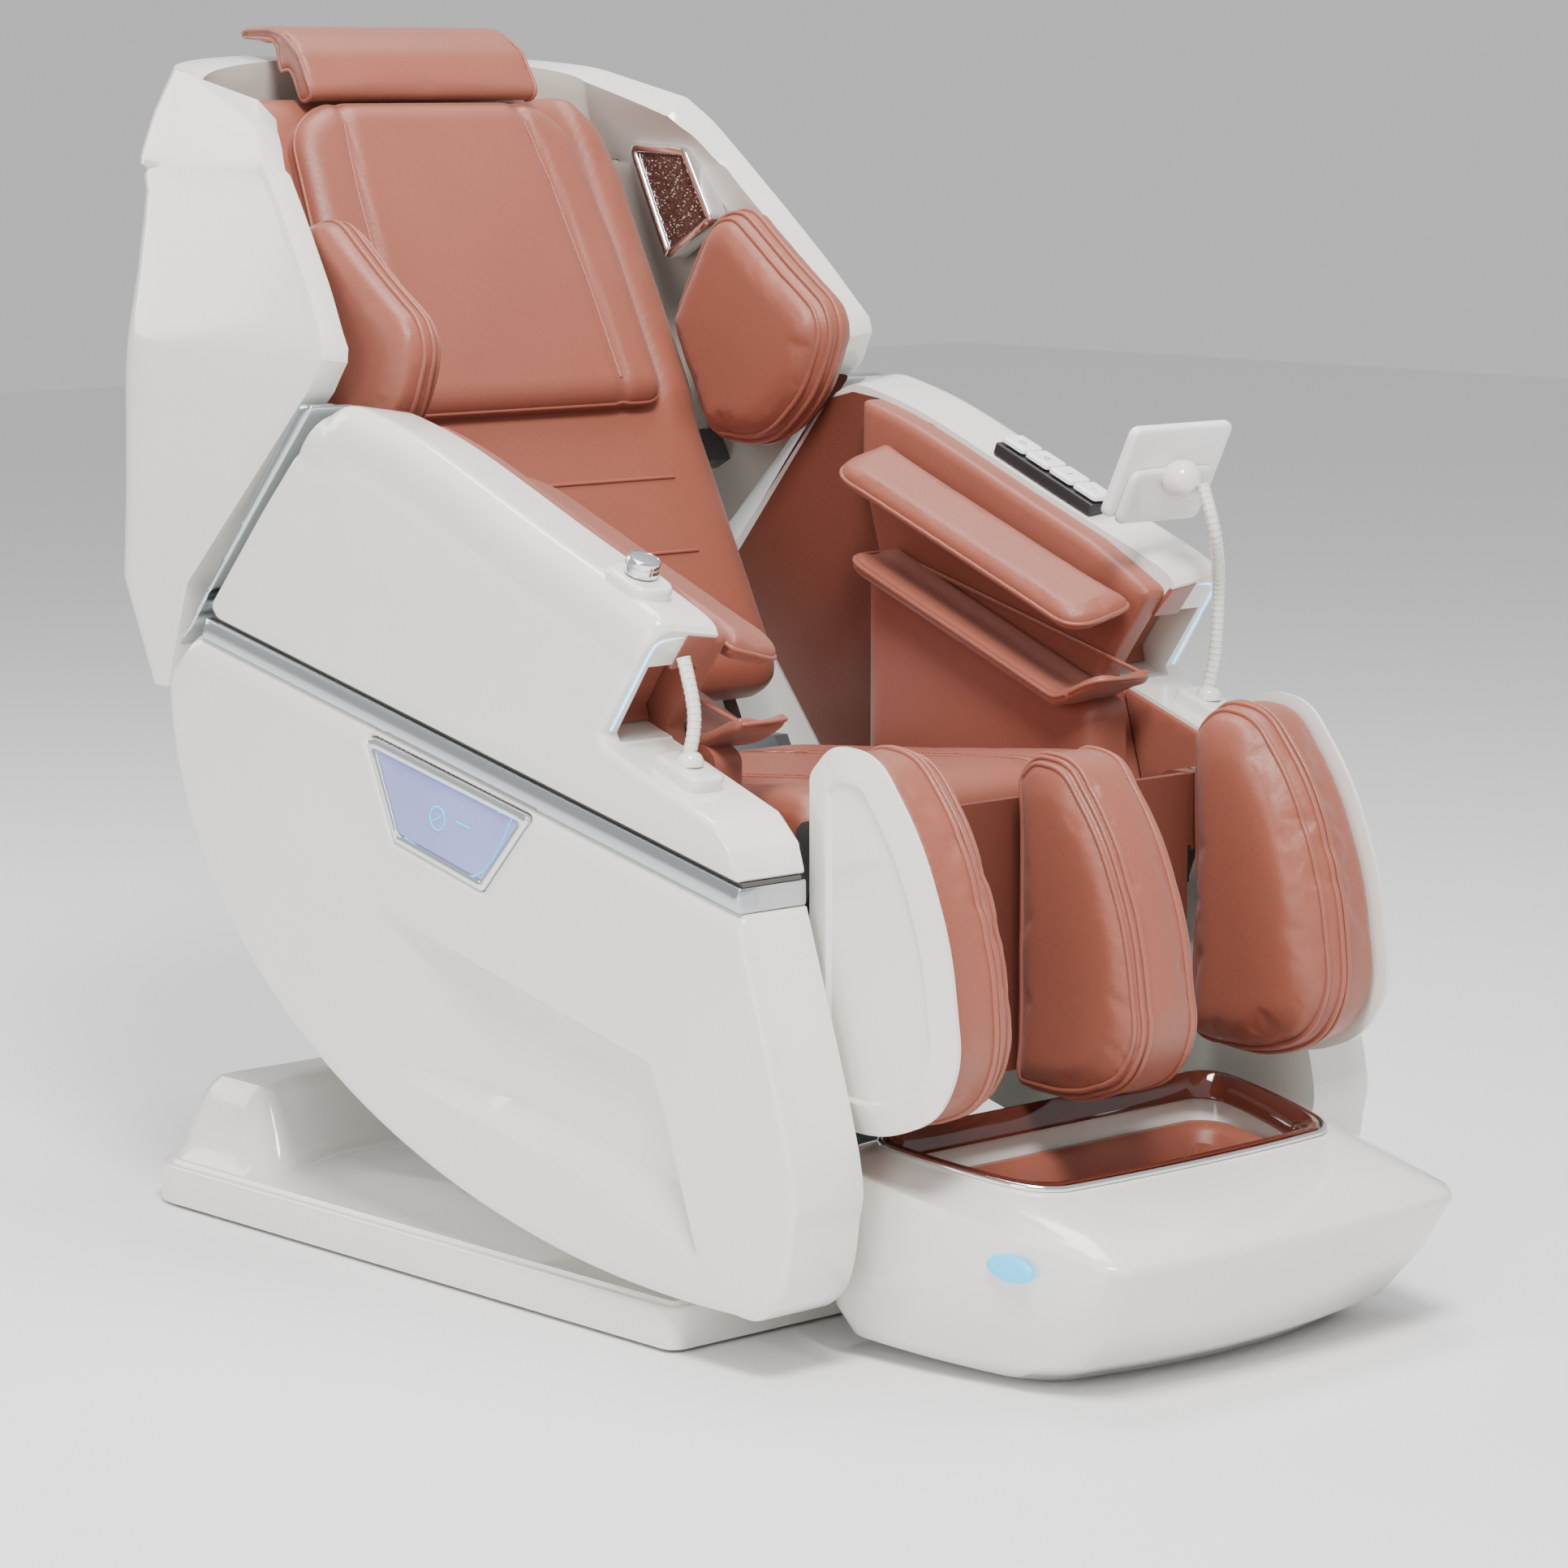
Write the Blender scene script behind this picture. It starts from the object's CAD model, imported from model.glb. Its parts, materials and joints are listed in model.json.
"""The massage chair dressed for view: gloss shells, upholstery, glass and light lines round the fixed frame.

Outlines are written in the side plane as (y, z) from the seat datum, and side() stands them in the frame.
"""

import json
import logging
from dataclasses import dataclass
from enum import Enum
from math import cos, pi, radians, sin, tan
from typing import Callable, Optional, Sequence

import bmesh
import bpy
import numpy as np
from mathutils import Matrix, Vector, geometry
from mathutils.bvhtree import BVHTree


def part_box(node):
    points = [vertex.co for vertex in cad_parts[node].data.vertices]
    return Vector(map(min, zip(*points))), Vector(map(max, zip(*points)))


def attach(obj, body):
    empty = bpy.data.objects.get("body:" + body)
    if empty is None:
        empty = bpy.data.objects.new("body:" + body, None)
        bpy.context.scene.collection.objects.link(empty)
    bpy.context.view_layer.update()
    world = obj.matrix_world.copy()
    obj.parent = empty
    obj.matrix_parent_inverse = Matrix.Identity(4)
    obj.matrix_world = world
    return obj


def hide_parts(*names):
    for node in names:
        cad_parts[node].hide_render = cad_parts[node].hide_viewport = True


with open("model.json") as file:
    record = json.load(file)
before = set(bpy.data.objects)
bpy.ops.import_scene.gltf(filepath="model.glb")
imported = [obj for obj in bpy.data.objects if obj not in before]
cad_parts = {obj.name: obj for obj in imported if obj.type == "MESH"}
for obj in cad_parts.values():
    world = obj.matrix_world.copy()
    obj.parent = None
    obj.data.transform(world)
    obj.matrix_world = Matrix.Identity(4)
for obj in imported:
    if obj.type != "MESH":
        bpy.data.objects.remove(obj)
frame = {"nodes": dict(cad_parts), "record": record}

logging.basicConfig(level=logging.INFO, format="%(message)s")
log = logging.getLogger("chair")

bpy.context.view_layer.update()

DATUM_SHIFT = -0.0275
HALF = 0.41
SHELL_IN = 0.32
STRIP_TALL = 0.03
SLOPE_UP = (0.45399, 0.891007)
SLOPE_BACK = (0.891007, -0.45399)
BACK_ORIGIN = (0.285, 0.42)
SIDES = (("left", 1), ("right", -1))
FLOOR_REACH = 12.0
MERGE_GAP = 2e-5

Array = np.ndarray
Pair = tuple[float, float]
Line = Sequence[Pair]
Height = Callable[[Array, Array], Array]


def side(y: float, z: float) -> Pair:
    """A side-plane point from the seat datum, stood in the frame."""
    return (y + DATUM_SHIFT, z)


def sides(points: Line) -> list[Pair]:
    """A whole outline from the seat datum, stood in the frame."""
    return [side(y, z) for y, z in points]


def on_back(up: float, behind: float) -> Pair:
    """The frame's side-plane point this far up the backrest's slope and behind it.

    Args:
        up: Distance up the slope.
        behind: Distance behind the slope.

    Returns:
        The point.
    """
    return side(
        BACK_ORIGIN[0] + up * SLOPE_UP[0] + behind * SLOPE_BACK[0],
        BACK_ORIGIN[1] + up * SLOPE_UP[1] + behind * SLOPE_BACK[1],
    )


def strip_line(y: float) -> float:
    """Height of the side panel's upper edge at a drawn station."""
    return 0.447 + (y + 0.358) * 0.19 / 0.872


def flap_line(y: float, drop: float = 0.0) -> float:
    """Height of the forearm flap's underside at a drawn station, less a drop."""
    return 0.672 + (y + 0.126) * 0.386 - drop


def flow(points: Line, steps: int = 6) -> list[Pair]:
    """A smooth open line through the points.

    Args:
        points: Places the line passes.
        steps: Pieces between two of them.

    Returns:
        The points of the smooth line.
    """
    made = []
    last = len(points) - 1
    for i in range(last):
        p0, p1, p2, p3 = (np.array(points[min(max(k, 0), last)]) for k in (i - 1, i, i + 1, i + 2))
        for k in range(steps):
            t = k / steps
            bend = (2 * p0 - 5 * p1 + 4 * p2 - p3) * t * t + (3 * p1 - p0 - 3 * p2 + p3) * t**3
            made.append(tuple(0.5 * (2 * p1 + (p2 - p0) * t + bend)))
    return made + [tuple(points[-1])]


def rounded(points: Line, radius: float, steps: int = 6, own: Optional[dict[int, float]] = None) -> list[Pair]:
    """A closed outline with its corners rounded.

    Args:
        points: The corners.
        radius: Radius at each corner.
        steps: Pieces in each corner's arc.
        own: Radii of single corners, by index.

    Returns:
        The rounded outline.
    """
    made = []
    count = len(points)
    for i, point in enumerate(points):
        p = Vector(point)
        u = Vector(points[i - 1]) - p
        v = Vector(points[(i + 1) % count]) - p
        reach = (own or {}).get(i, radius)
        angle = u.angle(v)
        if reach <= 0 or angle > pi - 0.04:
            made.append(tuple(p))
            continue
        cut = min(reach / tan(angle / 2), 0.46 * u.length, 0.46 * v.length)
        start = p + u.normalized() * cut
        end = p + v.normalized() * cut
        for k in range(steps + 1):
            t = k / steps
            made.append(tuple(start * (1 - t) ** 2 + p * 2 * t * (1 - t) + end * t * t))
    return made


def resample(points: Line, step: float, closed: bool = True) -> Array:
    """The line cut into pieces no longer than the step.

    Args:
        points: The line's points.
        step: The longest piece allowed.
        closed: Whether the last point joins the first.

    Returns:
        The points of the cut line.
    """
    made = []
    count = len(points)
    for i in range(count if closed else count - 1):
        a = np.array(points[i], float)
        b = np.array(points[(i + 1) % count], float)
        parts = max(1, int(np.ceil(np.linalg.norm(b - a) / step)))
        made += [a + (b - a) * k / parts for k in range(parts)]
    if not closed:
        made.append(np.array(points[-1], float))
    kept = [made[0]]
    for p in made[1:]:
        if np.linalg.norm(p - kept[-1]) > MERGE_GAP:
            kept.append(p)
    return np.array(kept)


def distance(points: Array, line: Array, closed: bool = False) -> Array:
    """How far each point lies from a line.

    Args:
        points: Places to measure from.
        line: The line measured to.
        closed: Whether the last point joins the first.

    Returns:
        One distance for each place.
    """
    line = np.asarray(line, float)
    ends = np.roll(line, -1, axis=0) if closed else line[1:]
    best = np.full(len(points), 1e9)
    for a, b in zip(line, ends):
        d = b - a
        t = np.clip(((points - a) @ d) / max(d @ d, 1e-12), 0, 1)
        off = points - a - t[:, None] * d
        best = np.minimum(best, np.hypot(off[:, 0], off[:, 1]))
    return best


def inside(points: Array, loop: Array) -> Array:
    """Which points lie in a closed outline.

    Args:
        points: Places to test.
        loop: The closed outline.

    Returns:
        True for each place inside.
    """
    loop = np.asarray(loop, float)
    hit = np.zeros(len(points), bool)
    for (x0, y0), (x1, y1) in zip(loop, np.roll(loop, -1, axis=0)):
        crosses = (y0 > points[:, 1]) != (y1 > points[:, 1])
        hit ^= crosses & (points[:, 0] < (x1 - x0) * (points[:, 1] - y0) / ((y1 - y0) or 1e-12) + x0)
    return hit


def turned(loop: Array, anticlockwise: bool) -> Array:
    """The loop in the asked direction."""
    x, y = loop.T
    area = (x * np.roll(y, -1) - np.roll(x, -1) * y).sum()
    return loop if (area > 0) == anticlockwise else loop[::-1]


def inset(loop: Array, offset: float) -> Array:
    """The loop's points moved to its inner side, less those that would fold over.

    Args:
        loop: The closed outline.
        offset: How far the points move.

    Returns:
        The moved points.
    """
    ahead = np.roll(loop, -1, axis=0) - np.roll(loop, 1, axis=0)
    normal = np.stack([-ahead[:, 1], ahead[:, 0]], 1)
    normal /= np.linalg.norm(normal, axis=1)[:, None] + 1e-12
    moved = loop + normal * offset
    return moved[distance(moved, loop, True) > 0.93 * offset]


def round_edge(d: Array, radius: float, depth: Optional[float] = None) -> Array:
    """How far the surface falls at each distance from a rounded edge."""
    share = np.clip(1 - d / radius, 0, 1)
    return (depth or radius) * (1 - np.sqrt(np.clip(1 - share * share, 0, 1)))


def level(height: float) -> Height:
    """A flat face at one height."""
    return lambda points, gap: np.full(len(points), height)


def domed(height: float, radius: float, depth: Optional[float] = None) -> Height:
    """An upper face that falls over its rounded edge."""
    return lambda points, gap: height - round_edge(gap, radius, depth)


def dished(height: float, radius: float, depth: Optional[float] = None) -> Height:
    """A lower face that rises towards its rounded edge."""
    return lambda points, gap: height + round_edge(gap, radius, depth)


def blend_in(value: Array, low: float, high: float) -> Array:
    """A smooth step from 0 at low to 1 at high."""
    t = np.clip((value - low) / (high - low), 0, 1)
    return t * t * (3 - 2 * t)


SIDE_PLANE = Matrix(((0, 0, 1, 0), (1, 0, 0, 0), (0, 1, 0, 0), (0, 0, 0, 1)))
PLAN = Matrix.Identity(4)


def side_place(sign: int) -> Matrix:
    """The side plane with its outward direction on one side of the chair."""
    place = SIDE_PLANE.copy()
    place[0][2] = sign
    return place


def back_plane() -> Matrix:
    """Across, up the backrest's slope, and out of it towards the sitter."""
    y, z = on_back(0, 0)
    return Matrix(((1, 0, 0, 0), (0, SLOPE_UP[0], -SLOPE_BACK[0], y), (0, SLOPE_UP[1], -SLOPE_BACK[1], z), (0, 0, 0, 1)))


class Grain(Enum):
    """The fine surface of a finish."""

    GLOSS = "gloss"
    HIDE = "hide"
    BRUSHED = "brushed"
    PEBBLE = "pebble"
    CRACKLE = "crackle"
    GLASS = "glass"
    LIGHT = "light"


@dataclass(frozen=True)
class Finish:
    """A surface finish and the nodes that make it."""

    name: str
    colour: tuple[float, float, float]
    second: tuple[float, float, float]
    roughness: float
    grain: Grain
    metallic: float = 0.0
    coat: float = 0.0
    scale: float = 300.0
    bump: float = 0.1
    glow: float = 0.0
    sheen: float = 0.0
    clear: float = 0.0

    def material(self) -> bpy.types.Material:
        """The finish as a material, made once."""
        found = bpy.data.materials.get(self.name)
        if found:
            return found
        made = bpy.data.materials.new(self.name)
        made.use_nodes = True
        nodes = made.node_tree.nodes
        links = made.node_tree.links
        shader = nodes["Principled BSDF"]
        shader.inputs["Metallic"].default_value = self.metallic
        shader.inputs["Coat Weight"].default_value = self.coat
        shader.inputs["Coat Roughness"].default_value = 0.06
        shader.inputs["Sheen Weight"].default_value = self.sheen
        shader.inputs["Transmission Weight"].default_value = self.clear
        place = nodes.new("ShaderNodeTexCoord")
        mapping = nodes.new("ShaderNodeMapping")
        links.new(place.outputs["Object"], mapping.inputs["Vector"])
        if self.grain is Grain.BRUSHED:
            mapping.inputs["Scale"].default_value = (1.0, 0.06, 1.0)
        broad = nodes.new("ShaderNodeTexNoise")
        broad.inputs["Scale"].default_value = 6.0
        broad.inputs["Detail"].default_value = 4.0
        links.new(mapping.outputs["Vector"], broad.inputs["Vector"])
        fine = self._fine(nodes, links, mapping)
        tint = nodes.new("ShaderNodeValToRGB")
        tint.color_ramp.elements[0].position = 0.3
        tint.color_ramp.elements[1].position = 0.7
        tint.color_ramp.elements[0].color = (*self.second, 1)
        tint.color_ramp.elements[1].color = (*self.colour, 1)
        source = fine if self.grain in (Grain.CRACKLE, Grain.HIDE) else broad.outputs["Fac"]
        if self.grain is Grain.HIDE:
            mix = nodes.new("ShaderNodeMath")
            mix.operation = "MULTIPLY_ADD"
            mix.inputs[1].default_value = 0.55
            links.new(fine, mix.inputs[0])
            half = nodes.new("ShaderNodeMath")
            half.operation = "MULTIPLY"
            half.inputs[1].default_value = 0.75
            links.new(broad.outputs["Fac"], half.inputs[0])
            links.new(half.outputs[0], mix.inputs[2])
            source = mix.outputs[0]
        links.new(source, tint.inputs["Fac"])
        links.new(tint.outputs["Color"], shader.inputs["Base Color"])
        rough = nodes.new("ShaderNodeMapRange")
        rough.inputs["To Min"].default_value = max(self.roughness - 0.04, 0.02)
        rough.inputs["To Max"].default_value = self.roughness + 0.05
        links.new(broad.outputs["Fac"], rough.inputs["Value"])
        links.new(rough.outputs["Result"], shader.inputs["Roughness"])
        bump = nodes.new("ShaderNodeBump")
        bump.inputs["Strength"].default_value = self.bump
        bump.inputs["Distance"].default_value = 0.0006
        links.new(fine, bump.inputs["Height"])
        links.new(bump.outputs["Normal"], shader.inputs["Normal"])
        if self.glow:
            links.new(tint.outputs["Color"], shader.inputs["Emission Color"])
            shader.inputs["Emission Strength"].default_value = self.glow
        return made

    def _fine(
        self, nodes: bpy.types.Nodes, links: bpy.types.NodeLinks, mapping: bpy.types.Node
    ) -> bpy.types.NodeSocket:
        """The fine pattern's output socket, by the kind of grain.

        Args:
            nodes: The node tree's nodes.
            links: The node tree's links.
            mapping: The node that scales the pattern.

        Returns:
            The socket.
        """
        if self.grain in (Grain.HIDE, Grain.CRACKLE):
            cells = nodes.new("ShaderNodeTexVoronoi")
            cells.feature = "DISTANCE_TO_EDGE"
            cells.inputs["Scale"].default_value = self.scale
            cells.inputs["Randomness"].default_value = 1.0
            links.new(mapping.outputs["Vector"], cells.inputs["Vector"])
            spread = nodes.new("ShaderNodeMapRange")
            spread.inputs["From Max"].default_value = 0.22 if self.grain is Grain.HIDE else 0.1
            links.new(cells.outputs["Distance"], spread.inputs["Value"])
            return spread.outputs["Result"]
        noise = nodes.new("ShaderNodeTexNoise")
        noise.inputs["Scale"].default_value = self.scale
        noise.inputs["Detail"].default_value = 3.0
        links.new(mapping.outputs["Vector"], noise.inputs["Vector"])
        return noise.outputs["Fac"]


PEARL = Finish("pearl_gloss", (0.815, 0.8, 0.745), (0.79, 0.775, 0.72), 0.14, Grain.GLOSS, coat=0.6, scale=700, bump=0.015)
LINING = Finish("hood_lining", (0.66, 0.63, 0.57), (0.61, 0.58, 0.52), 0.36, Grain.PEBBLE, scale=900, bump=0.12)
HIDE = Finish(
    "terracotta_hide", (0.3, 0.088, 0.055), (0.245, 0.068, 0.042), 0.38, Grain.HIDE, scale=620, bump=0.2, sheen=0.12
)
ROLL = Finish("hide_piping", (0.32, 0.098, 0.062), (0.27, 0.078, 0.049), 0.34, Grain.HIDE, scale=700, bump=0.16, sheen=0.12)
DEEP_HIDE = Finish("shaded_hide", (0.17, 0.05, 0.032), (0.13, 0.038, 0.024), 0.45, Grain.HIDE, scale=620, bump=0.2)
THREAD = Finish("hide_thread", (0.3, 0.1, 0.065), (0.24, 0.08, 0.05), 0.6, Grain.PEBBLE, scale=2500, bump=0.2)
CHROME = Finish(
    "satin_chrome", (0.62, 0.66, 0.68), (0.52, 0.57, 0.6), 0.16, Grain.BRUSHED, metallic=1.0, scale=900, bump=0.02
)
BRIGHT = Finish(
    "bright_chrome", (0.86, 0.88, 0.9), (0.8, 0.83, 0.86), 0.08, Grain.BRUSHED, metallic=1.0, scale=600, bump=0.01
)
SILVER = Finish(
    "knurled_silver", (0.52, 0.53, 0.54), (0.38, 0.39, 0.4), 0.32, Grain.BRUSHED, metallic=0.9, scale=1200, bump=0.2
)
STEEL = Finish(
    "painted_steel", (0.17, 0.18, 0.19), (0.13, 0.135, 0.145), 0.42, Grain.PEBBLE, metallic=0.6, scale=500, bump=0.15
)
BLACK = Finish("black_moulding", (0.022, 0.022, 0.024), (0.014, 0.014, 0.016), 0.42, Grain.PEBBLE, scale=1100, bump=0.25)
SHADOW = Finish("dark_joint", (0.1, 0.095, 0.09), (0.07, 0.066, 0.062), 0.7, Grain.PEBBLE, scale=900, bump=0.1)
RUBBER = Finish("wheel_rubber", (0.03, 0.03, 0.03), (0.02, 0.02, 0.02), 0.75, Grain.PEBBLE, scale=700, bump=0.3)
GLASS = Finish(
    "lavender_glass", (0.3, 0.33, 0.66), (0.25, 0.27, 0.6), 0.07, Grain.GLASS, coat=0.8, scale=90, bump=0.0, glow=0.18
)
CYAN = Finish("cyan_light", (0.05, 0.58, 0.95), (0.04, 0.52, 0.92), 0.3, Grain.LIGHT, scale=40, bump=0.0, glow=0.75)
LAMP = Finish("pale_blue_light", (0.32, 0.66, 1.0), (0.28, 0.62, 1.0), 0.3, Grain.LIGHT, scale=40, bump=0.0, glow=2.4)
GRILLE = Finish(
    "speaker_crackle", (0.075, 0.034, 0.026), (0.022, 0.01, 0.008), 0.22, Grain.CRACKLE, coat=0.5, scale=150, bump=0.35
)
FLECK = Finish("speaker_fleck", (0.75, 0.66, 0.6), (0.62, 0.52, 0.46), 0.35, Grain.PEBBLE, scale=900, bump=0.1)
SMOKE = Finish("smoked_lip", (0.105, 0.03, 0.02), (0.07, 0.018, 0.012), 0.07, Grain.GLASS, coat=0.7, scale=60, bump=0.0)
KEY = Finish("key_white", (0.86, 0.86, 0.84), (0.83, 0.83, 0.81), 0.25, Grain.GLOSS, coat=0.4, scale=800, bump=0.02)
MARK = Finish("key_mark", (0.3, 0.31, 0.33), (0.27, 0.28, 0.3), 0.5, Grain.PEBBLE, scale=900, bump=0.1)

CARRIED = {
    "steel": STEEL,
    "black_plastic": BLACK,
    "rubber": RUBBER,
    "white_shell": PEARL,
    "satin_trim": CHROME,
    "key_white": KEY,
    "leather": DEEP_HIDE,
    "display": GLASS,
    "speaker": GRILLE,
}


def add_to_scene(obj: bpy.types.Object) -> None:
    """Links an object into the scene."""
    bpy.context.scene.collection.objects.link(obj)


def new_mesh(name: str, verts: Sequence, faces: Sequence, flip: bool = False, merge: float = MERGE_GAP) -> bpy.types.Mesh:
    """A mesh from points and faces, merged at its rims.

    Args:
        name: The mesh's name.
        verts: The points.
        faces: The faces, as indices of points.
        flip: Whether the faces turn over.
        merge: The gap that points are merged over.

    Returns:
        The mesh.
    """
    mesh = bpy.data.meshes.new(name)
    mesh.from_pydata([tuple(v) for v in verts], [], [tuple(f[::-1]) if flip else tuple(f) for f in faces])
    bm = bmesh.new()
    bm.from_mesh(mesh)
    bmesh.ops.remove_doubles(bm, verts=bm.verts, dist=merge)
    loose = [v for v in bm.verts if not v.link_faces]
    bmesh.ops.delete(bm, geom=loose, context="VERTS")
    bm.to_mesh(mesh)
    bm.free()
    return mesh


def piece(name: str, mesh: bpy.types.Mesh, finish: Finish, crease: float = 40) -> bpy.types.Object:
    """An object for a finished mesh, smooth apart from its sharp edges.

    Args:
        name: The object's name.
        mesh: The mesh.
        finish: The surface finish.
        crease: The angle in degrees from which an edge is sharp.

    Returns:
        The object.
    """
    mesh.name = name
    mesh.materials.clear()
    mesh.materials.append(finish.material())
    obj = bpy.data.objects.new(name, mesh)
    add_to_scene(obj)
    mesh.shade_smooth()
    mesh.set_sharp_from_angle(angle=radians(crease))
    return obj


def settle(obj: bpy.types.Object, body: str, slot: str, *nodes: str, padded: Optional[float] = None) -> bpy.types.Object:
    """Hangs a finished piece on its body and names what it stands for.

    Args:
        obj: The piece.
        body: The body it moves with.
        slot: The record's material slot.
        nodes: CAD nodes that it replaces.
        padded: How full a padded piece is.

    Returns:
        The piece.
    """
    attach(obj, body)
    if nodes:
        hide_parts(*nodes)
    return obj


def mirrored(mesh: bpy.types.Mesh) -> bpy.types.Mesh:
    """The same mesh on the other side of the chair, its faces still outwards.

    Args:
        mesh: The mesh.

    Returns:
        The mirrored mesh.
    """
    copy = mesh.copy()
    copy.transform(Matrix.Scale(-1, 4, (1, 0, 0)))
    copy.flip_normals()
    return copy


FINE_ROWS = (0.0008, 0.002, 0.004, 0.0065)
SOFT_ROWS = (0.0012, 0.004, 0.009, 0.016, 0.025)
CALF_ROWS = (0.0015, 0.0035, 0.006, 0.01, 0.014, 0.021, 0.03)


def body_mesh(
    name: str,
    outline: Line,
    top: Height,
    bottom: Height,
    place: Matrix,
    step: float = 0.01,
    rows: Sequence[float] = FINE_ROWS,
    holes: Sequence[Line] = (),
    creases: Sequence[Line] = (),
    shape: Optional[Callable[[Array], Array]] = None,
) -> bpy.types.Mesh:
    """A closed body over an outline, with a height field on each face.

    Args:
        name: The mesh's name.
        outline: The outline in the plane.
        top: Height of the upper face, from points and their distances to the edge.
        bottom: Height of the lower face.
        place: Columns across, along, out and origin.
        step: Grid size inside, and the longest edge piece.
        rows: Insets that carry the edge's rounding.
        holes: Outlines left open.
        creases: Lines that the mesh's edges follow.
        shape: A last change to the placed points.

    Returns:
        The mesh.
    """
    loops = [turned(resample(outline, step), True)] + [turned(resample(h, step), False) for h in holes]
    points = np.vstack(loops)
    edges = []
    start = 0
    for loop in loops:
        count = len(loop)
        edges += [(start + i, start + (i + 1) % count) for i in range(count)]
        start += count
    for crease in creases:
        line = resample(crease, step * 0.8, False)
        edges += [(len(points) + i, len(points) + i + 1) for i in range(len(line) - 1)]
        points = np.vstack([points, line])
    fixed = points
    more = [inset(loop, row) for loop in loops for row in rows]
    low, high = loops[0].min(0), loops[0].max(0)
    grid = np.stack(np.meshgrid(np.arange(low[0], high[0], step), np.arange(low[1], high[1], step)), -1).reshape(-1, 2)
    grid = grid + 0.37 * step
    rim = np.min([distance(grid, loop, True) for loop in loops], axis=0)
    more.append(grid[rim > (rows[-1] if rows else 0) + 0.55 * step])
    extra = np.vstack(more)
    near = np.min([distance(extra, loop, True) for loop in loops], axis=0)
    keep = inside(extra, loops[0]) & (near > 0.93 * (rows[0] if rows else step * 0.4))
    for crease in creases:
        keep &= distance(extra, resample(crease, step * 0.8, False)) > 0.45 * step
    for loop in loops[1:]:
        keep &= ~inside(extra, loop)
    points = np.vstack([fixed, extra[keep]])
    made = geometry.delaunay_2d_cdt([Vector(p) for p in points], edges, [], 1, 1e-7)
    flat = np.array([(v[0], v[1]) for v in made[0]])
    faces = np.array([f for f in made[2] if len(f) == 3])
    centres = flat[faces].mean(1)
    ok = inside(centres, loops[0])
    for loop in loops[1:]:
        ok &= ~inside(centres, loop)
    faces = faces[ok]
    a, b, c = (flat[faces[:, k]] for k in range(3))
    wind = (b[:, 0] - a[:, 0]) * (c[:, 1] - a[:, 1]) - (b[:, 1] - a[:, 1]) * (c[:, 0] - a[:, 0])
    faces = np.where((wind < 0)[:, None], faces[:, ::-1], faces)
    gap = np.min([distance(flat, loop, True) for loop in loops], axis=0)
    gap[gap < 1e-6] = 0
    frame_axes = np.array(place)
    across, along, out, origin = (frame_axes[:3, k] for k in range(4))
    plane = origin + flat[:, :1] * across + flat[:, 1:] * along
    upper = plane + top(flat, gap)[:, None] * out
    lower = plane + bottom(flat, gap)[:, None] * out
    count = len(flat)
    verts = np.vstack([upper, lower])
    if shape:
        verts = shape(verts)
    all_faces = [tuple(f) for f in faces] + [tuple(f[::-1] + count) for f in faces]
    used = {}
    for f in faces:
        for i in range(3):
            used[(f[i], f[(i + 1) % 3])] = True
    for i, j in used:
        if (j, i) not in used:
            all_faces.append((j, i, i + count, j + count))
    return new_mesh(name, verts, all_faces, flip=np.linalg.det(frame_axes[:3, :3]) < 0)


def loft(name: str, rings: Sequence[Sequence], closed: bool = True, caps: bool = False) -> bpy.types.Mesh:
    """Faces between rings of equal count, with optional flat ends.

    Args:
        name: The mesh's name.
        rings: Rings with the same number of points.
        closed: Whether each ring closes.
        caps: Whether the first and last rings are filled.

    Returns:
        The mesh.
    """
    count = len(rings[0])
    verts = [p for ring in rings for p in ring]
    faces = []
    for r in range(len(rings) - 1):
        for i in range(count if closed else count - 1):
            j = (i + 1) % count
            faces.append((r * count + i, r * count + j, (r + 1) * count + j, (r + 1) * count + i))
    if caps:
        faces.append(tuple(range(count))[::-1])
        faces.append(tuple(range((len(rings) - 1) * count, len(rings) * count)))
    return new_mesh(name, verts, faces)


def outward(mesh: bpy.types.Mesh) -> bpy.types.Mesh:
    """The closed mesh with its faces turned out.

    Args:
        mesh: The mesh.

    Returns:
        The same mesh.
    """
    bm = bmesh.new()
    bm.from_mesh(mesh)
    bmesh.ops.recalc_face_normals(bm, faces=bm.faces)
    bm.to_mesh(mesh)
    bm.free()
    return mesh


def baked(obj: bpy.types.Object) -> bpy.types.Mesh:
    """The object's evaluated mesh as a plain one; the object is removed.

    Args:
        obj: The object.

    Returns:
        The plain mesh.
    """
    graph = bpy.context.evaluated_depsgraph_get()
    graph.update()
    mesh = bpy.data.meshes.new_from_object(obj.evaluated_get(graph))
    bpy.data.objects.remove(obj, do_unlink=True)
    return mesh


class Path(Enum):
    """What runs along a path."""

    PIPING = "piping"
    STITCH = "stitch"
    RIB = "rib"


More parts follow.
